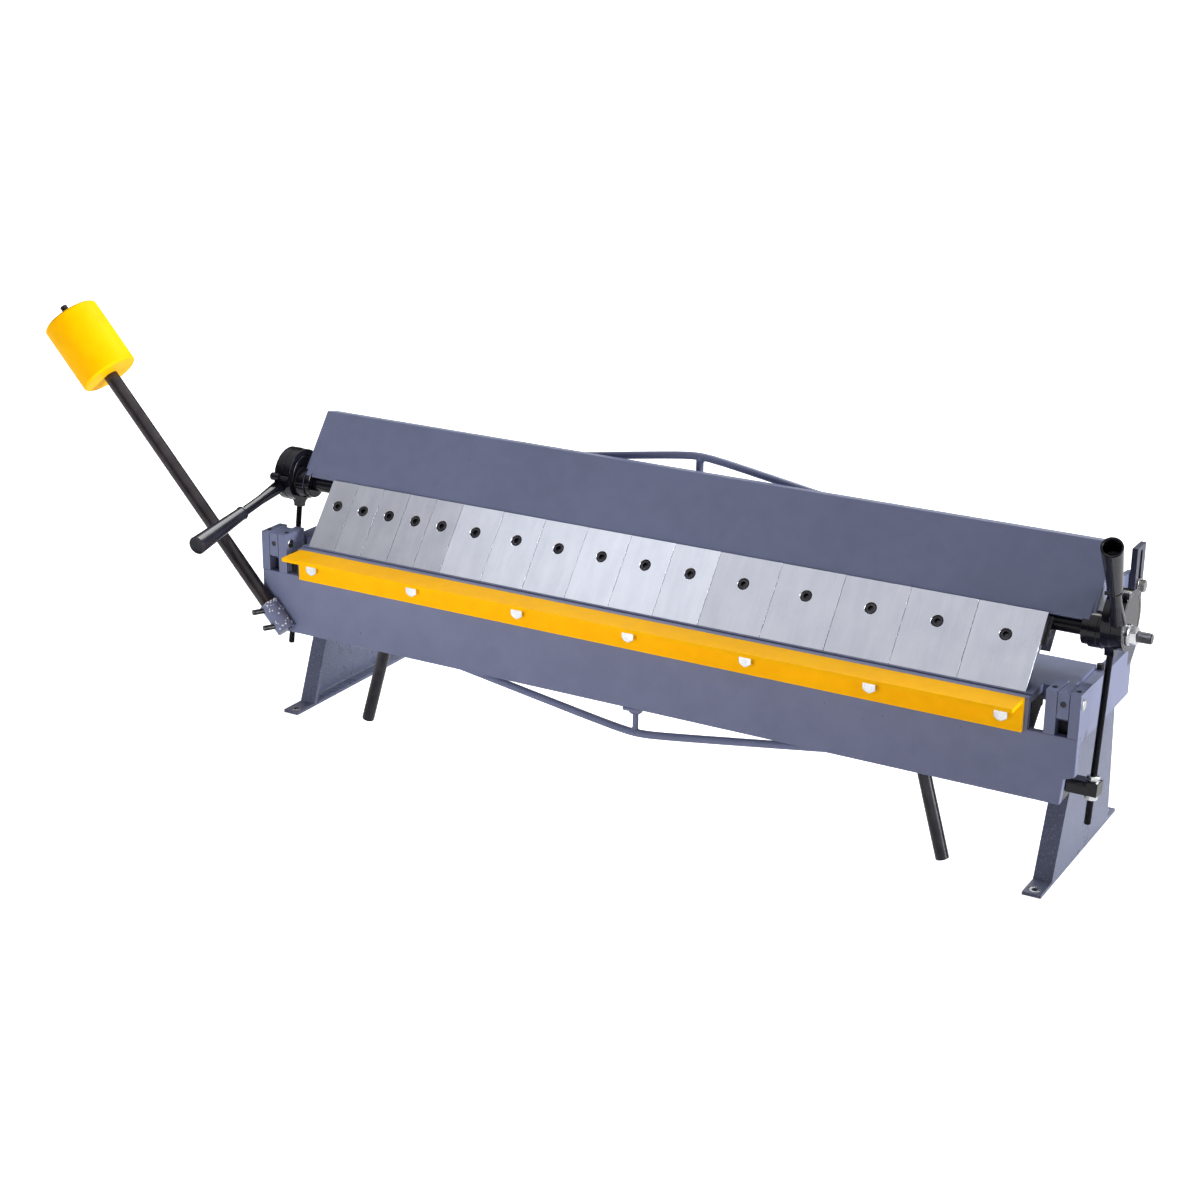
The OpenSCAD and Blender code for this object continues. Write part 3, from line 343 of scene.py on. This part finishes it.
# Pivot bolts: zinc-plated bolts clamped through the uprights' slots, each with a washer and a spring
# washer whose cut ends stand apart. The leaf turns on them.
def hexagon(bm, centre, axis, flats, height):
    """A hexagon with its outer corners turned off at 30 degrees. Sizes in mm, centre in metres."""
    part = bmesh.new()
    ring = bmesh.ops.create_circle(part, segments=6, radius=flats / sqrt(3))["verts"]
    edges = list(dict.fromkeys(e for v in ring for e in v.link_edges))
    cut = bmesh.ops.subdivide_edges(part, edges=edges, cuts=3)["geom_split"]
    edges = [g for g in cut if isinstance(g, bmesh.types.BMEdge)]
    bottom = list(edges)
    crown = flats * 0.458
    for rise in (0, 1):
        grown = bmesh.ops.extrude_edge_only(part, edges=edges)["geom"]
        verts = [g for g in grown if isinstance(g, bmesh.types.BMVert)]
        edges = [g for g in grown
                 if isinstance(g, bmesh.types.BMEdge) and all(v in verts for v in g.verts)]
        for v in verts:
            reach = v.co.xy.length
            v.co.z = height - max(0.0, reach - crown) * tan(radians(30))
            if rise:
                v.co.xy *= crown / reach
                v.co.z = height
    bmesh.ops.edgeloop_fill(part, edges=bottom)
    bmesh.ops.edgeloop_fill(part, edges=edges)
    joined(bm, part, centre, axis)


zinc = bare_metal("zinc_plate", (0.62, 0.64, 0.67), (0.88, 0.89, 0.90), 0.22)
zinc_warm = bare_metal("zinc_plate_passivated", (0.24, 0.24, 0.23), (0.52, 0.51, 0.50), 0.26)
SIDE_OUT, UPRIGHT_IN, PIVOT = 676.5, 657.2, (273.0, 87.0)
bm = bmesh.new()
for s in (-1, 1):
    out = Vector((s, 0, 0))
    turned_part(bm, place(s * SIDE_OUT, *PIVOT), out,
                [(5.2, 0), (11.6, 0), (12, 0.4), (12, 2.0), (11.6, 2.4), (5.2, 2.4)])
    hexagon(bm, place(s * (SIDE_OUT + 4.2), *PIVOT), out, 17, 6.3)
    inner = place(s * UPRIGHT_IN, *PIVOT)
    turned_part(bm, inner, out, [(0, -6.6), (4.9, -6.6), (4.9, 24), (0, 24)], 32)
    hexagon(bm, inner, -out, 17, 6.2)
placed(bm, "pivot_bolts_made", "frame", zinc_warm, nodes=("pivot_bolts",))
for s, side in SIDES:
    coil = []
    for i in range(41):
        a = radians(110 + 335 * i / 40)
        lift = 2.8 + 1.3 * i / 40
        coil.append(place(s * (SIDE_OUT + lift), PIVOT[0] + 7.6 * cos(a), PIVOT[1] + 7.6 * sin(a)))
    coil.append(coil[-1] + (coil[-1] - coil[-2]) * 1.6 + Vector((s * 0.0006, 0, 0)))
    placed(carried(coil, [1.25] * len(coil), 8), side + "_spring_washer", "frame", zinc_warm)

# Clamping leaf: one sheet folded over at the ridge, with end plates and webs inside, and the black
# beam that the fingers hang on. The bushes of the clamp shafts are black, and so are the eyes of the
# end plates behind them.
eased("clamping_leaf", "leaf", grey, 2.2, 3)
eased("leaf_end_plates", "leaf", grey, 0.8)
eased("finger_beam", "leaf", black, 1.5)
SHAFT, EYE_IN = (92.0, 76.0), 657.5
bm = bmesh.new()
for s in (-1, 1):
    turned_part(bm, place(s * EYE_IN, *SHAFT), (s, 0, 0),
                [(12.4, 0), (22.6, 0), (23.2, 0.4), (23.2, 9.3), (25.2, 9.6), (25.7, 10.1), (25.7, 22.0),
                 (25.1, 22.6), (25.1, 25.0), (25.7, 25.6), (25.7, 28.9), (25.2, 29.35), (16.0, 29.4)], 64)
placed(bm, "bush_collars", "leaf", black)

# Fingers: hardened steel blocks, surface ground up and down their faces and left bare, so fine
# upright lines show. Each has a shade of its own, and the ones in the middle are lighter.
SLOPE = radians(52)


def ground(name, shade):
    """Ground steel of one shade, with the grinding lines running up the finger's face."""
    made, shader, wire = finish(name, metal=1.0)
    where = wire.node("ShaderNodeTexCoord", out="Object")
    x, y, z = (wire.node("ShaderNodeSeparateXYZ", {0: where}, out=i) for i in range(3))
    along = y * cos(SLOPE) + z * sin(SLOPE)
    lines = wire.node("ShaderNodeCombineXYZ", {0: x * 900.0, 1: along * 26.0})
    bands = wire.node("ShaderNodeCombineXYZ", {0: x * 60.0, 1: along * 9.0})
    grain = wire.noise(1.0, 3.0, 0.6, at=lines)
    band = wire.noise(1.0, 2.0, 0.5, at=bands)
    cloud = wire.noise(22.0, 4.0)
    tone = grain * 0.3 + band * 0.25 + cloud * 0.45
    dark = tuple(c * shade for c in (0.46, 0.48, 0.555))
    light = tuple(c * shade for c in (0.60, 0.62, 0.70))
    colour = tone.step(0.28, 0.72).blend(dark + (1,), light + (1,))
    wear(shader, wire, colour, 0.31 + (grain - 0.5) * 0.14 + (cloud - 0.5) * 0.12, grain, 0.12, 0.0001)
    return made


SHADES = (0.83, 0.87, 0.86, 0.90, 0.94, 1.20, 1.27, 1.28, 1.33, 1.30, 1.20, 0.95, 0.92, 0.90, 0.91, 0.93)
for i, shade in enumerate(SHADES):
    finger = "finger_%02d" % (i + 1)
    eased(finger, "leaf", ground("ground_" + finger, shade), 0.4, 2, 50)
eased("finger_screws", "leaf", blacked, 0.5, 2, 50)


# Leaf truss: round bar bent over a post behind the ridge, so that the long sheet can't bow. Lumps of
# weld hold the bar on its post and on the two end tabs.
def bent_bar(name, body, finish_made, knee, slope, depth, down, node):
    """A bar that falls, or with down at -1 rises, from a rounded knee in the middle to both ends."""
    bend, radius = 26.0, 6.0
    places = [TRUSS_HALF * i / 30 for i in range(-30, 31)] + [bend * i / 8 for i in range(-16, 17) if i]
    places.sort()
    path = []
    for x in places:
        lift = (sqrt(x * x + bend * bend) - bend) * tan(radians(slope))
        point = place(x, depth, knee - down * lift)
        if not path or (point - path[-1]).length > 0.002:
            path.append(point)
    bm = carried(path, [radius * 0.8] + [radius] * (len(path) - 2) + [radius * 0.8], 20)
    placed(bm, name, body, finish_made, nodes=(node,))


def weld_lump(name, body, finish_made, centre, size):
    """A built-up lump of weld: a few beads melted together."""
    bm = bmesh.new()
    for k in range(5):
        turn = k * 2.4
        radius = size / 1000 * (0.62 + 0.1 * sin(k * 3.1))
        made = bmesh.ops.create_icosphere(bm, subdivisions=3, radius=radius)["verts"]
        shift = Vector((cos(turn) * 0.42, sin(turn) * 0.3, sin(k * 1.7) * 0.3)) * size / 1000
        bmesh.ops.translate(bm, verts=made, vec=shift)
    bmesh.ops.translate(bm, verts=bm.verts, vec=place(*centre))
    placed(bm, name, body, finish_made)


TRUSS_Y, TRUSS_Z, TRUSS_SLOPE, TRUSS_HALF = 197.0, 196.0, 9.3, 430
TRUSS_END_Z = TRUSS_Z - TRUSS_HALF * tan(radians(TRUSS_SLOPE))
PANEL_Y, PANEL_Z, PANEL_LEAN = 175, 180, 16 / 68
TAB_X = 415
bent_bar("leaf_truss_bar", "leaf", grey, TRUSS_Z, TRUSS_SLOPE, TRUSS_Y, 1, "leaf_truss")
bm = bmesh.new()
turned_part(bm, place(0, TRUSS_Y, 142), (0, 0, 1), [(0, 0), (5.6, 0), (6, 0.4), (6, 50), (0, 50)], 32)
for x, z in ((0, 150), (-TAB_X, TRUSS_END_Z), (TAB_X, TRUSS_END_Z)):
    back = PANEL_Y + (PANEL_Z - z) * PANEL_LEAN
    slab(bm, (x, (TRUSS_Y + back) / 2 - 0.4, z), (30, TRUSS_Y - back + 0.8, 12))
bmesh.ops.recalc_face_normals(bm, faces=bm.faces)
placed(bm, "leaf_truss_post", "leaf", grey, 0.8)
weld_lump("leaf_truss_knee_weld", "leaf", grey, (0, TRUSS_Y, TRUSS_Z - 3), 8.5)
for s, side in SIDES:
    weld_lump("leaf_truss_%s_weld" % side, "leaf", grey, (s * (TAB_X + 3), TRUSS_Y, TRUSS_END_Z + 1.6), 7.5)

# Clamp shafts, hubs and levers: black castings on turned shafts. The right-hand shaft and lever are a
# slightly duller black. The grips are tapered tubes: the left one is plugged, the right one open.
gunmetal = cast_black("gunmetal_gloss", (0.006, 0.006, 0.009), 0.12, 0.5, level=0.16)
grip_black = cast_black("grip_enamel", (0.008, 0.008, 0.013), 0.18, 0.3)
grip_inside = cast_black("grip_plug", (0.010, 0.010, 0.013), 0.3, 0.3, level=0.2)
rim = bare_metal("gunmetal_disc", (0.10, 0.10, 0.115), (0.17, 0.17, 0.19), 0.34)
for side, tone, grip_tone in (("left", black, grip_black), ("right", gunmetal, gunmetal)):
    body = side + "_clamp"
    eased(side + "_eccentric", body, tone, 1.2)
    eased(side + "_hub", body, black, 1.6, 3)
    eased(side + "_lever", body, tone, 0.8)
    eased(side + "_grip", body, grip_tone, 0.8)
HUB_OUT, HUB_MID, HUB_R = 718.0, 710.5, 44.0
LEFT_BOSS, RIGHT_BOSS = (100.92, 84.03), (101.08, 93.82)


def lever_at(s, boss, angle, splay, reach):
    """The point this far from the hub's rim along a lever, and the lever's direction."""
    angle, splay = radians(angle), radians(splay)
    ahead = Vector((s * sin(splay), -cos(splay) * cos(angle), cos(splay) * sin(angle)))
    away = (-cos(angle), sin(angle))
    sy, sz = SHAFT[0] - boss[0], SHAFT[1] - boss[1]
    b = sy * away[0] + sz * away[1]
    rim_reach = -b + sqrt(b * b - sy * sy - sz * sz + HUB_R * HUB_R)
    root = place(s * HUB_MID, SHAFT[0] + rim_reach * away[0], SHAFT[1] + rim_reach * away[1])
    return root + ahead * reach / 1000, ahead, rim_reach


LEVER_LEN, GRIP_LEN = 265, 125
for s, side, boss, angle, splay, depth, tone in ((-1, "left", LEFT_BOSS, -9.3, -3, 2.2, black),
                                                 (1, "right", RIGHT_BOSS, 44, 7.5, 36.0, gunmetal)):
    rim_reach = lever_at(s, boss, angle, splay, 0)[2]
    grip_from = LEVER_LEN - rim_reach - GRIP_LEN
    bm = bmesh.new()
    collar, ahead = lever_at(s, boss, angle, splay, grip_from)[:2]
    turned_part(bm, collar, ahead,
                [(8.0, -2.2), (10.2, -2.0), (11.4, -0.9), (11.5, 1.4), (10.8, 2.4), (10.5, 2.6)])
    placed(bm, side + "_grip_collar", side + "_clamp", tone)
    bm = bmesh.new()
    end, ahead = lever_at(s, boss, angle, splay, grip_from + GRIP_LEN)[:2]
    turned_part(bm, end, ahead, [(0, -depth), (9.5, -depth), (11.9, -depth + 1.2),
                                 (11.95, -depth - 2.0), (0, -depth - 2.0)])
    placed(bm, side + "_grip_plug", side + "_clamp", grip_inside)
    bm = bmesh.new()
    turned_part(bm, place(s * HUB_OUT, *boss), (s, 0, 0),
                [(HUB_R - 7.5, -0.3), (HUB_R - 7.3, 0.35), (HUB_R - 4.4, 0.35), (HUB_R - 4.2, -0.3)], 96)
    placed(bm, side + "_hub_land", side + "_clamp", black if side == "left" else rim)
bm = bmesh.new()
turned_part(bm, place(HUB_OUT + 0.1, *SHAFT), (1, 0, 0),
            [(7.6, 0), (14.6, 0), (15, 0.4), (15, 2.5), (14.6, 2.9), (7.6, 2.9)])
hexagon(bm, place(HUB_OUT + 3.1, *SHAFT), (1, 0, 0), 24, 11.7)
placed(bm, "stud_nut_made", "right_clamp", zinc, nodes=("stud_nut",))
THREAD_PITCH = 1.5
bm = bmesh.new()
thread = [(7.4, 0)]
for i in range(12):
    z = THREAD_PITCH * i
    thread += [(7.9, z + 0.5), (7.9, z + 0.8), (7.4, z + 1.3)]
turned_part(bm, place(HUB_OUT + 14.8, *SHAFT), (1, 0, 0), thread + [(6.8, 19.3), (0, 19.3)])
placed(bm, "stud_thread", "right_clamp", rim)

# Clamp links: a black strap round each eccentric, an adjusting rod threaded for its whole length,
# and a swivel block held between washers and zinc nuts.
SWIVEL, ROD_X = (66.0, -148.0), 695.25
BLOCK_TOP, WASHER_TOP = 10.1 / 1000, 11.8 / 1000
for s, side, boss in ((-1, "left", LEFT_BOSS), (1, "right", RIGHT_BOSS)):
    link = side + "_link"
    eased(side + "_strap", link, black, 1.3)
    eased(side + "_swivel_block", link, black, 1.0)
    foot, head = place(s * ROD_X, *SWIVEL), place(s * ROD_X, *boss)
    up = (head - foot).normalized()
    reach = (head - foot).length * 1000
    thread, z, top = [(0, -54), (3.8, -54)], -53.2, reach - 46.5
    while z < top:
        thread += [(4.1, z), (5.0, z + 0.55), (5.0, z + 0.75), (4.1, z + 1.3)]
        z += THREAD_PITCH
    bm = bmesh.new()
    turned_part(bm, foot, up, thread + [(3.8, top + 0.4), (0, top + 0.4)], 24)
    placed(bm, side + "_rod_made", link, black, nodes=(side + "_rod",))
    bm = bmesh.new()
    for way in (1, -1):
        turned_part(bm, foot + up * way * BLOCK_TOP, up * way,
                    [(5.1, 0), (9.6, 0), (10, 0.3), (10, 1.3), (9.6, 1.6), (5.1, 1.6)])
        hexagon(bm, foot + up * way * WASHER_TOP, up * way, 16.8, 6.0)
    placed(bm, side + "_rod_nuts_made", link, zinc, nodes=(side + "_rod_nuts",))

# Apron: a thick plate with two hinge ears welded on at each end, in the machine's blue-grey enamel. The
# faces that look into the bed's pockets carry thin black plates as painted shadow, and a small screw closes
# each ear.
eased("apron_plate", "apron", grey, 1.2)
eased("apron_ears", "apron", grey, 1.2)
eased("apron_screws", "apron", blacked, 0.8)
# Thin black plates on the inner ears' lower inner faces, as painted shadow.
bm = bmesh.new()
for s in (-1, 1):
    slab(bm, (s * (PIN_IN - 0.2), 6.5, -36), (0.4, 14, 40))
placed(bm, "ear_shadow_plates", "apron", shadow_black)
EAR_HEEL = (-1.4, -58.2)
for s, side in SIDES:
    inner_heel = [(s * (PIN_IN + 4 * i), *EAR_HEEL) for i in range(5)]
    weld(side + "_ear_weld", "apron", grey, inner_heel, 2.0)
    outer_heel = [(s * (678 + 3.4 * i), *EAR_HEEL) for i in range(5)]
    weld(side + "_outer_ear_weld", "apron", grey, outer_heel, 2.0)


# Angle bar: rolled angle in yellow enamel, held on the apron by seven zinc-plated bolts. The enamel is
# clouded and slightly chipped, like the grey one.
yellow, shader, wire = finish("yellow_enamel", level=0.05)
clouds = wire.noise(6.0, 3.0) * 0.5 + wire.noise(45.0, 3.0) * 0.5
colour = clouds.step(0.35, 0.65).blend((0.95, 0.46, 0.0, 1), (1.0, 0.51, 0.001, 1))
chips = wire.noise(95.0, 3.0, 0.7).step(0.74, 0.75)
colour = (chips * 0.5).blend(colour, (0.45, 0.20, 0.0, 1))
rough = 0.42 + (clouds - 0.5) * 0.18
wear(shader, wire, colour, rough, wire.noise(300.0, 2.0) - chips * 0.3, 0.2, 0.0005)
eased("angle_bar", "apron", yellow, 0.9, 3)
BOLT_PITCH, BOLT_Z, BOLT_END, BAR_FRONT = 195.1, -27.75, -13.8, -20.05
bm = bmesh.new()
for i in range(-3, 4):
    turned_part(bm, place(i * BOLT_PITCH, BOLT_END, BOLT_Z), (0, -1, 0),
                [(0, 0), (3.9, 0), (3.9, 6.4), (0, 6.4)], 24)
    hexagon(bm, place(i * BOLT_PITCH, BAR_FRONT, BOLT_Z), (0, -1, 0), 19.5, 6.9)
placed(bm, "angle_bar_bolts_made", "apron", zinc, nodes=("angle_bar_bolts",))

# Apron truss: the same bent bar below the apron, pulled down by a post with a nut under its pad, so
# that the apron can't bow either. It is welded on at the ends and painted with the apron.
APRON_TRUSS_Y, APRON_TRUSS_Z = 4.0, -195.0
bent_bar("apron_truss_bar", "apron", grey, APRON_TRUSS_Z, 8.7, APRON_TRUSS_Y, -1, "apron_truss")
bm = bmesh.new()
turned_part(bm, place(0, APRON_TRUSS_Y, -193), (0, 0, 1), [(0, 0), (4.6, 0), (4.6, 30), (0, 30)], 32)
hexagon(bm, place(0, APRON_TRUSS_Y, -154.1), (0, 0, -1), 18.5, 8)
slab(bm, (0, -2.2, -151.6), (27, 23.5, 4.8))
placed(bm, "apron_truss_post", "apron", grey, 0.6)
weld_lump("apron_truss_knee_weld", "apron", grey, (0, APRON_TRUSS_Y, APRON_TRUSS_Z + 2), 8.0)


# Bending handles: two lengths of drawn bar, welded on the back of the apron and splayed outwards. Their
# thin black lacquer lets the steel show through.
def drawn_bar(name, dark, light, dull):
    """Drawn bar under a thin dark lacquer: faint streaks, brownish where the light catches."""
    made, shader, wire = finish(name, metal=0.3)
    streak = wire.noise(14.0, 3.0) * 0.6 + wire.noise(60.0, 3.0) * 0.4
    colour = streak.step(0.35, 0.65).blend(dark + (1,), light + (1,))
    wear(shader, wire, colour, dull + (streak - 0.5) * 0.12, wire.noise(160.0, 3.0), 0.08, 0.0004)
    return made


lacquered = drawn_bar("lacquered_bar", (0.012, 0.012, 0.017), (0.028, 0.027, 0.034), 0.22)
eased("bending_handles", "apron", lacquered, 1.2)

# Counterweight: a turned drum in yellow enamel on a long drawn bar, which slides into a socket
# welded on the apron's left end and is held there by two set screws. Spatter sticks to the socket, coloured
# near-white as painted glints.
browned = drawn_bar("browned_bar", (0.015, 0.012, 0.015), (0.036, 0.030, 0.034), 0.18)
eased("counterweight_socket", "apron", grey, 0.7)
eased("counterweight_rod", "apron", browned, 0.8)
eased("counterweight", "apron", yellow, 0.6)
WEIGHT_FOOT, WEIGHT_TURN = (-639.0, -26.3, -142.0), radians(47.9)
SOCKET_LEN, SOCKET_R = 54, 15.5
toss = random.Random(11)
# The spatter lumps are real; their near-white colour is painted glints.
glinting_spatter = enamel("spatter_painted_glint", (0.55, 0.55, 0.60), (0.85, 0.85, 0.88), 0.15, level=0.6)
up = Vector((-cos(WEIGHT_TURN), 0, sin(WEIGHT_TURN)))
across = Vector((sin(WEIGHT_TURN), 0, cos(WEIGHT_TURN)))
bm = bmesh.new()
for i in range(64):
    on_rim = i % 3 == 0
    height = SOCKET_LEN - abs(toss.gauss(0, 1.4)) if on_rim else toss.uniform(4, SOCKET_LEN - 2)
    spot = radians(toss.uniform(-60, 80))
    grain = toss.uniform(0.5, 1.7)
    made = bmesh.ops.create_icosphere(bm, subdivisions=2, radius=grain / 1000)["verts"]
    side_way = across * cos(spot) + Vector((0, -1, 0)) * sin(spot)
    grain_at = place(*WEIGHT_FOOT) + (up * height + side_way * (SOCKET_R - 0.2)) / 1000
    bmesh.ops.translate(bm, verts=made, vec=grain_at)
placed(bm, "socket_spatter", "apron", glinting_spatter)

# Studio: a plain pale floor that keeps a faint shadow, soft light from the right, from behind and from
# the left front, a white surround, and the camera where the photograph was taken from.
camera_data = bpy.data.cameras.new("camera")
camera_data.lens, camera_data.sensor_width, camera_data.sensor_fit = 66.851, 36.0, "HORIZONTAL"
camera_data.clip_end = 200
camera = bpy.data.objects.new("camera", camera_data)
yaw, pitch, roll = radians(29.59), radians(19.52), radians(0.66)
ahead = Vector((-sin(yaw) * cos(pitch), cos(yaw) * cos(pitch), -sin(pitch)))
level_right = Vector((cos(yaw), sin(yaw), 0))
level_up = level_right.cross(ahead)
across = cos(roll) * level_right + sin(roll) * level_up
upward = -sin(roll) * level_right + cos(roll) * level_up
turn = Matrix((across, upward, -ahead)).transposed().to_4x4()
camera.matrix_world = Matrix.Translation(place(1502.97, -2756.84, 1133.43)) @ turn
bpy.context.scene.collection.objects.link(camera)
bpy.context.scene.camera = camera


def sun(name, toward, strength, spread):
    """A large far lamp that shines from this side, with its spread in degrees."""
    data = bpy.data.lights.new(name, "SUN")
    data.energy, data.angle = strength, radians(spread)
    made = bpy.data.objects.new(name, data)
    made.matrix_world = Vector(toward).to_track_quat("Z", "Y").to_matrix().to_4x4()
    bpy.context.scene.collection.objects.link(made)


sun("right_softbox", (0.97, 0.10, 0.20), 4.2, 30)
sun("back_softbox", (-0.05, 0.62, 0.78), 2.5, 40)
data = bpy.data.lights.new("left_front_softbox", "AREA")
data.energy, data.size = 12.0, 0.9
made = bpy.data.objects.new("left_front_softbox", data)
made.visible_glossy = False
spot = place(-620, -1330, -40)
aim = (spot - place(0, 0, 0)).to_track_quat("Z", "Y").to_matrix().to_4x4()
made.matrix_world = Matrix.Translation(spot) @ aim
bpy.context.scene.collection.objects.link(made)

bm = bmesh.new()
bmesh.ops.create_grid(bm, x_segments=4, y_segments=4, size=60)
mesh = bpy.data.meshes.new("floor")
bm.to_mesh(mesh)
bm.free()
floor = bpy.data.objects.new("floor", mesh)
bpy.context.scene.collection.objects.link(floor)
floor_paint, shader, wire = finish("studio_floor", level=0.0)
shader.inputs["Roughness"].default_value = 1.0
pale = wire.noise(3.0, 2.0).step(0.2, 0.8).blend((0.90, 0.90, 0.905, 1), (0.91, 0.91, 0.915, 1))
wire.tree.links.new(pale.socket, shader.inputs["Base Color"])
shine = wire.node("ShaderNodeLightPath", out="Is Camera Ray") * 0.8
shader.inputs["Emission Strength"].default_value = 1.0
wire.tree.links.new(shine.socket, shader.inputs["Emission Color"])
mesh.materials.append(floor_paint)

world = bpy.data.worlds.new("surround")
bpy.context.scene.world = world
world.use_nodes = True
wire = Wire(world.node_tree)
camera_ray, glossy, through = (wire.node("ShaderNodeLightPath", out=k)
                               for k in ("Is Camera Ray", "Is Glossy Ray", "Is Transmission Ray"))
plain = wire.math("MAXIMUM", camera_ray, through)
toward = wire.node("ShaderNodeTexCoord", out="Generated")
dx, dz = (wire.node("ShaderNodeSeparateXYZ", {0: toward}, out=i) for i in (0, 2))
# Glossy metal mirrors a dim room with a pale ceiling, a bright strip high on the left and a bright
# right side. The camera sees plain white.
sky = 0.05 + dz.step(0.35, 0.8) * 0.72 + dx.step(-0.55, -0.46) * dz.step(0.3, 0.6)
sky = sky - dx.step(-0.41, -0.35) * 0.75 * dz.step(0.3, 0.6) + dx.step(0.6, 0.95) * 0.8
level = plain + (1 - plain) * (glossy * sky + (1 - glossy) * 0.15)
back = wire.node("ShaderNodeBackground", {"Color": (1, 1, 1, 1), "Strength": level})
wire.tree.links.new(back.socket, world.node_tree.nodes["World Output"].inputs["Surface"])

bpy.context.scene.view_settings.view_transform = "Standard"
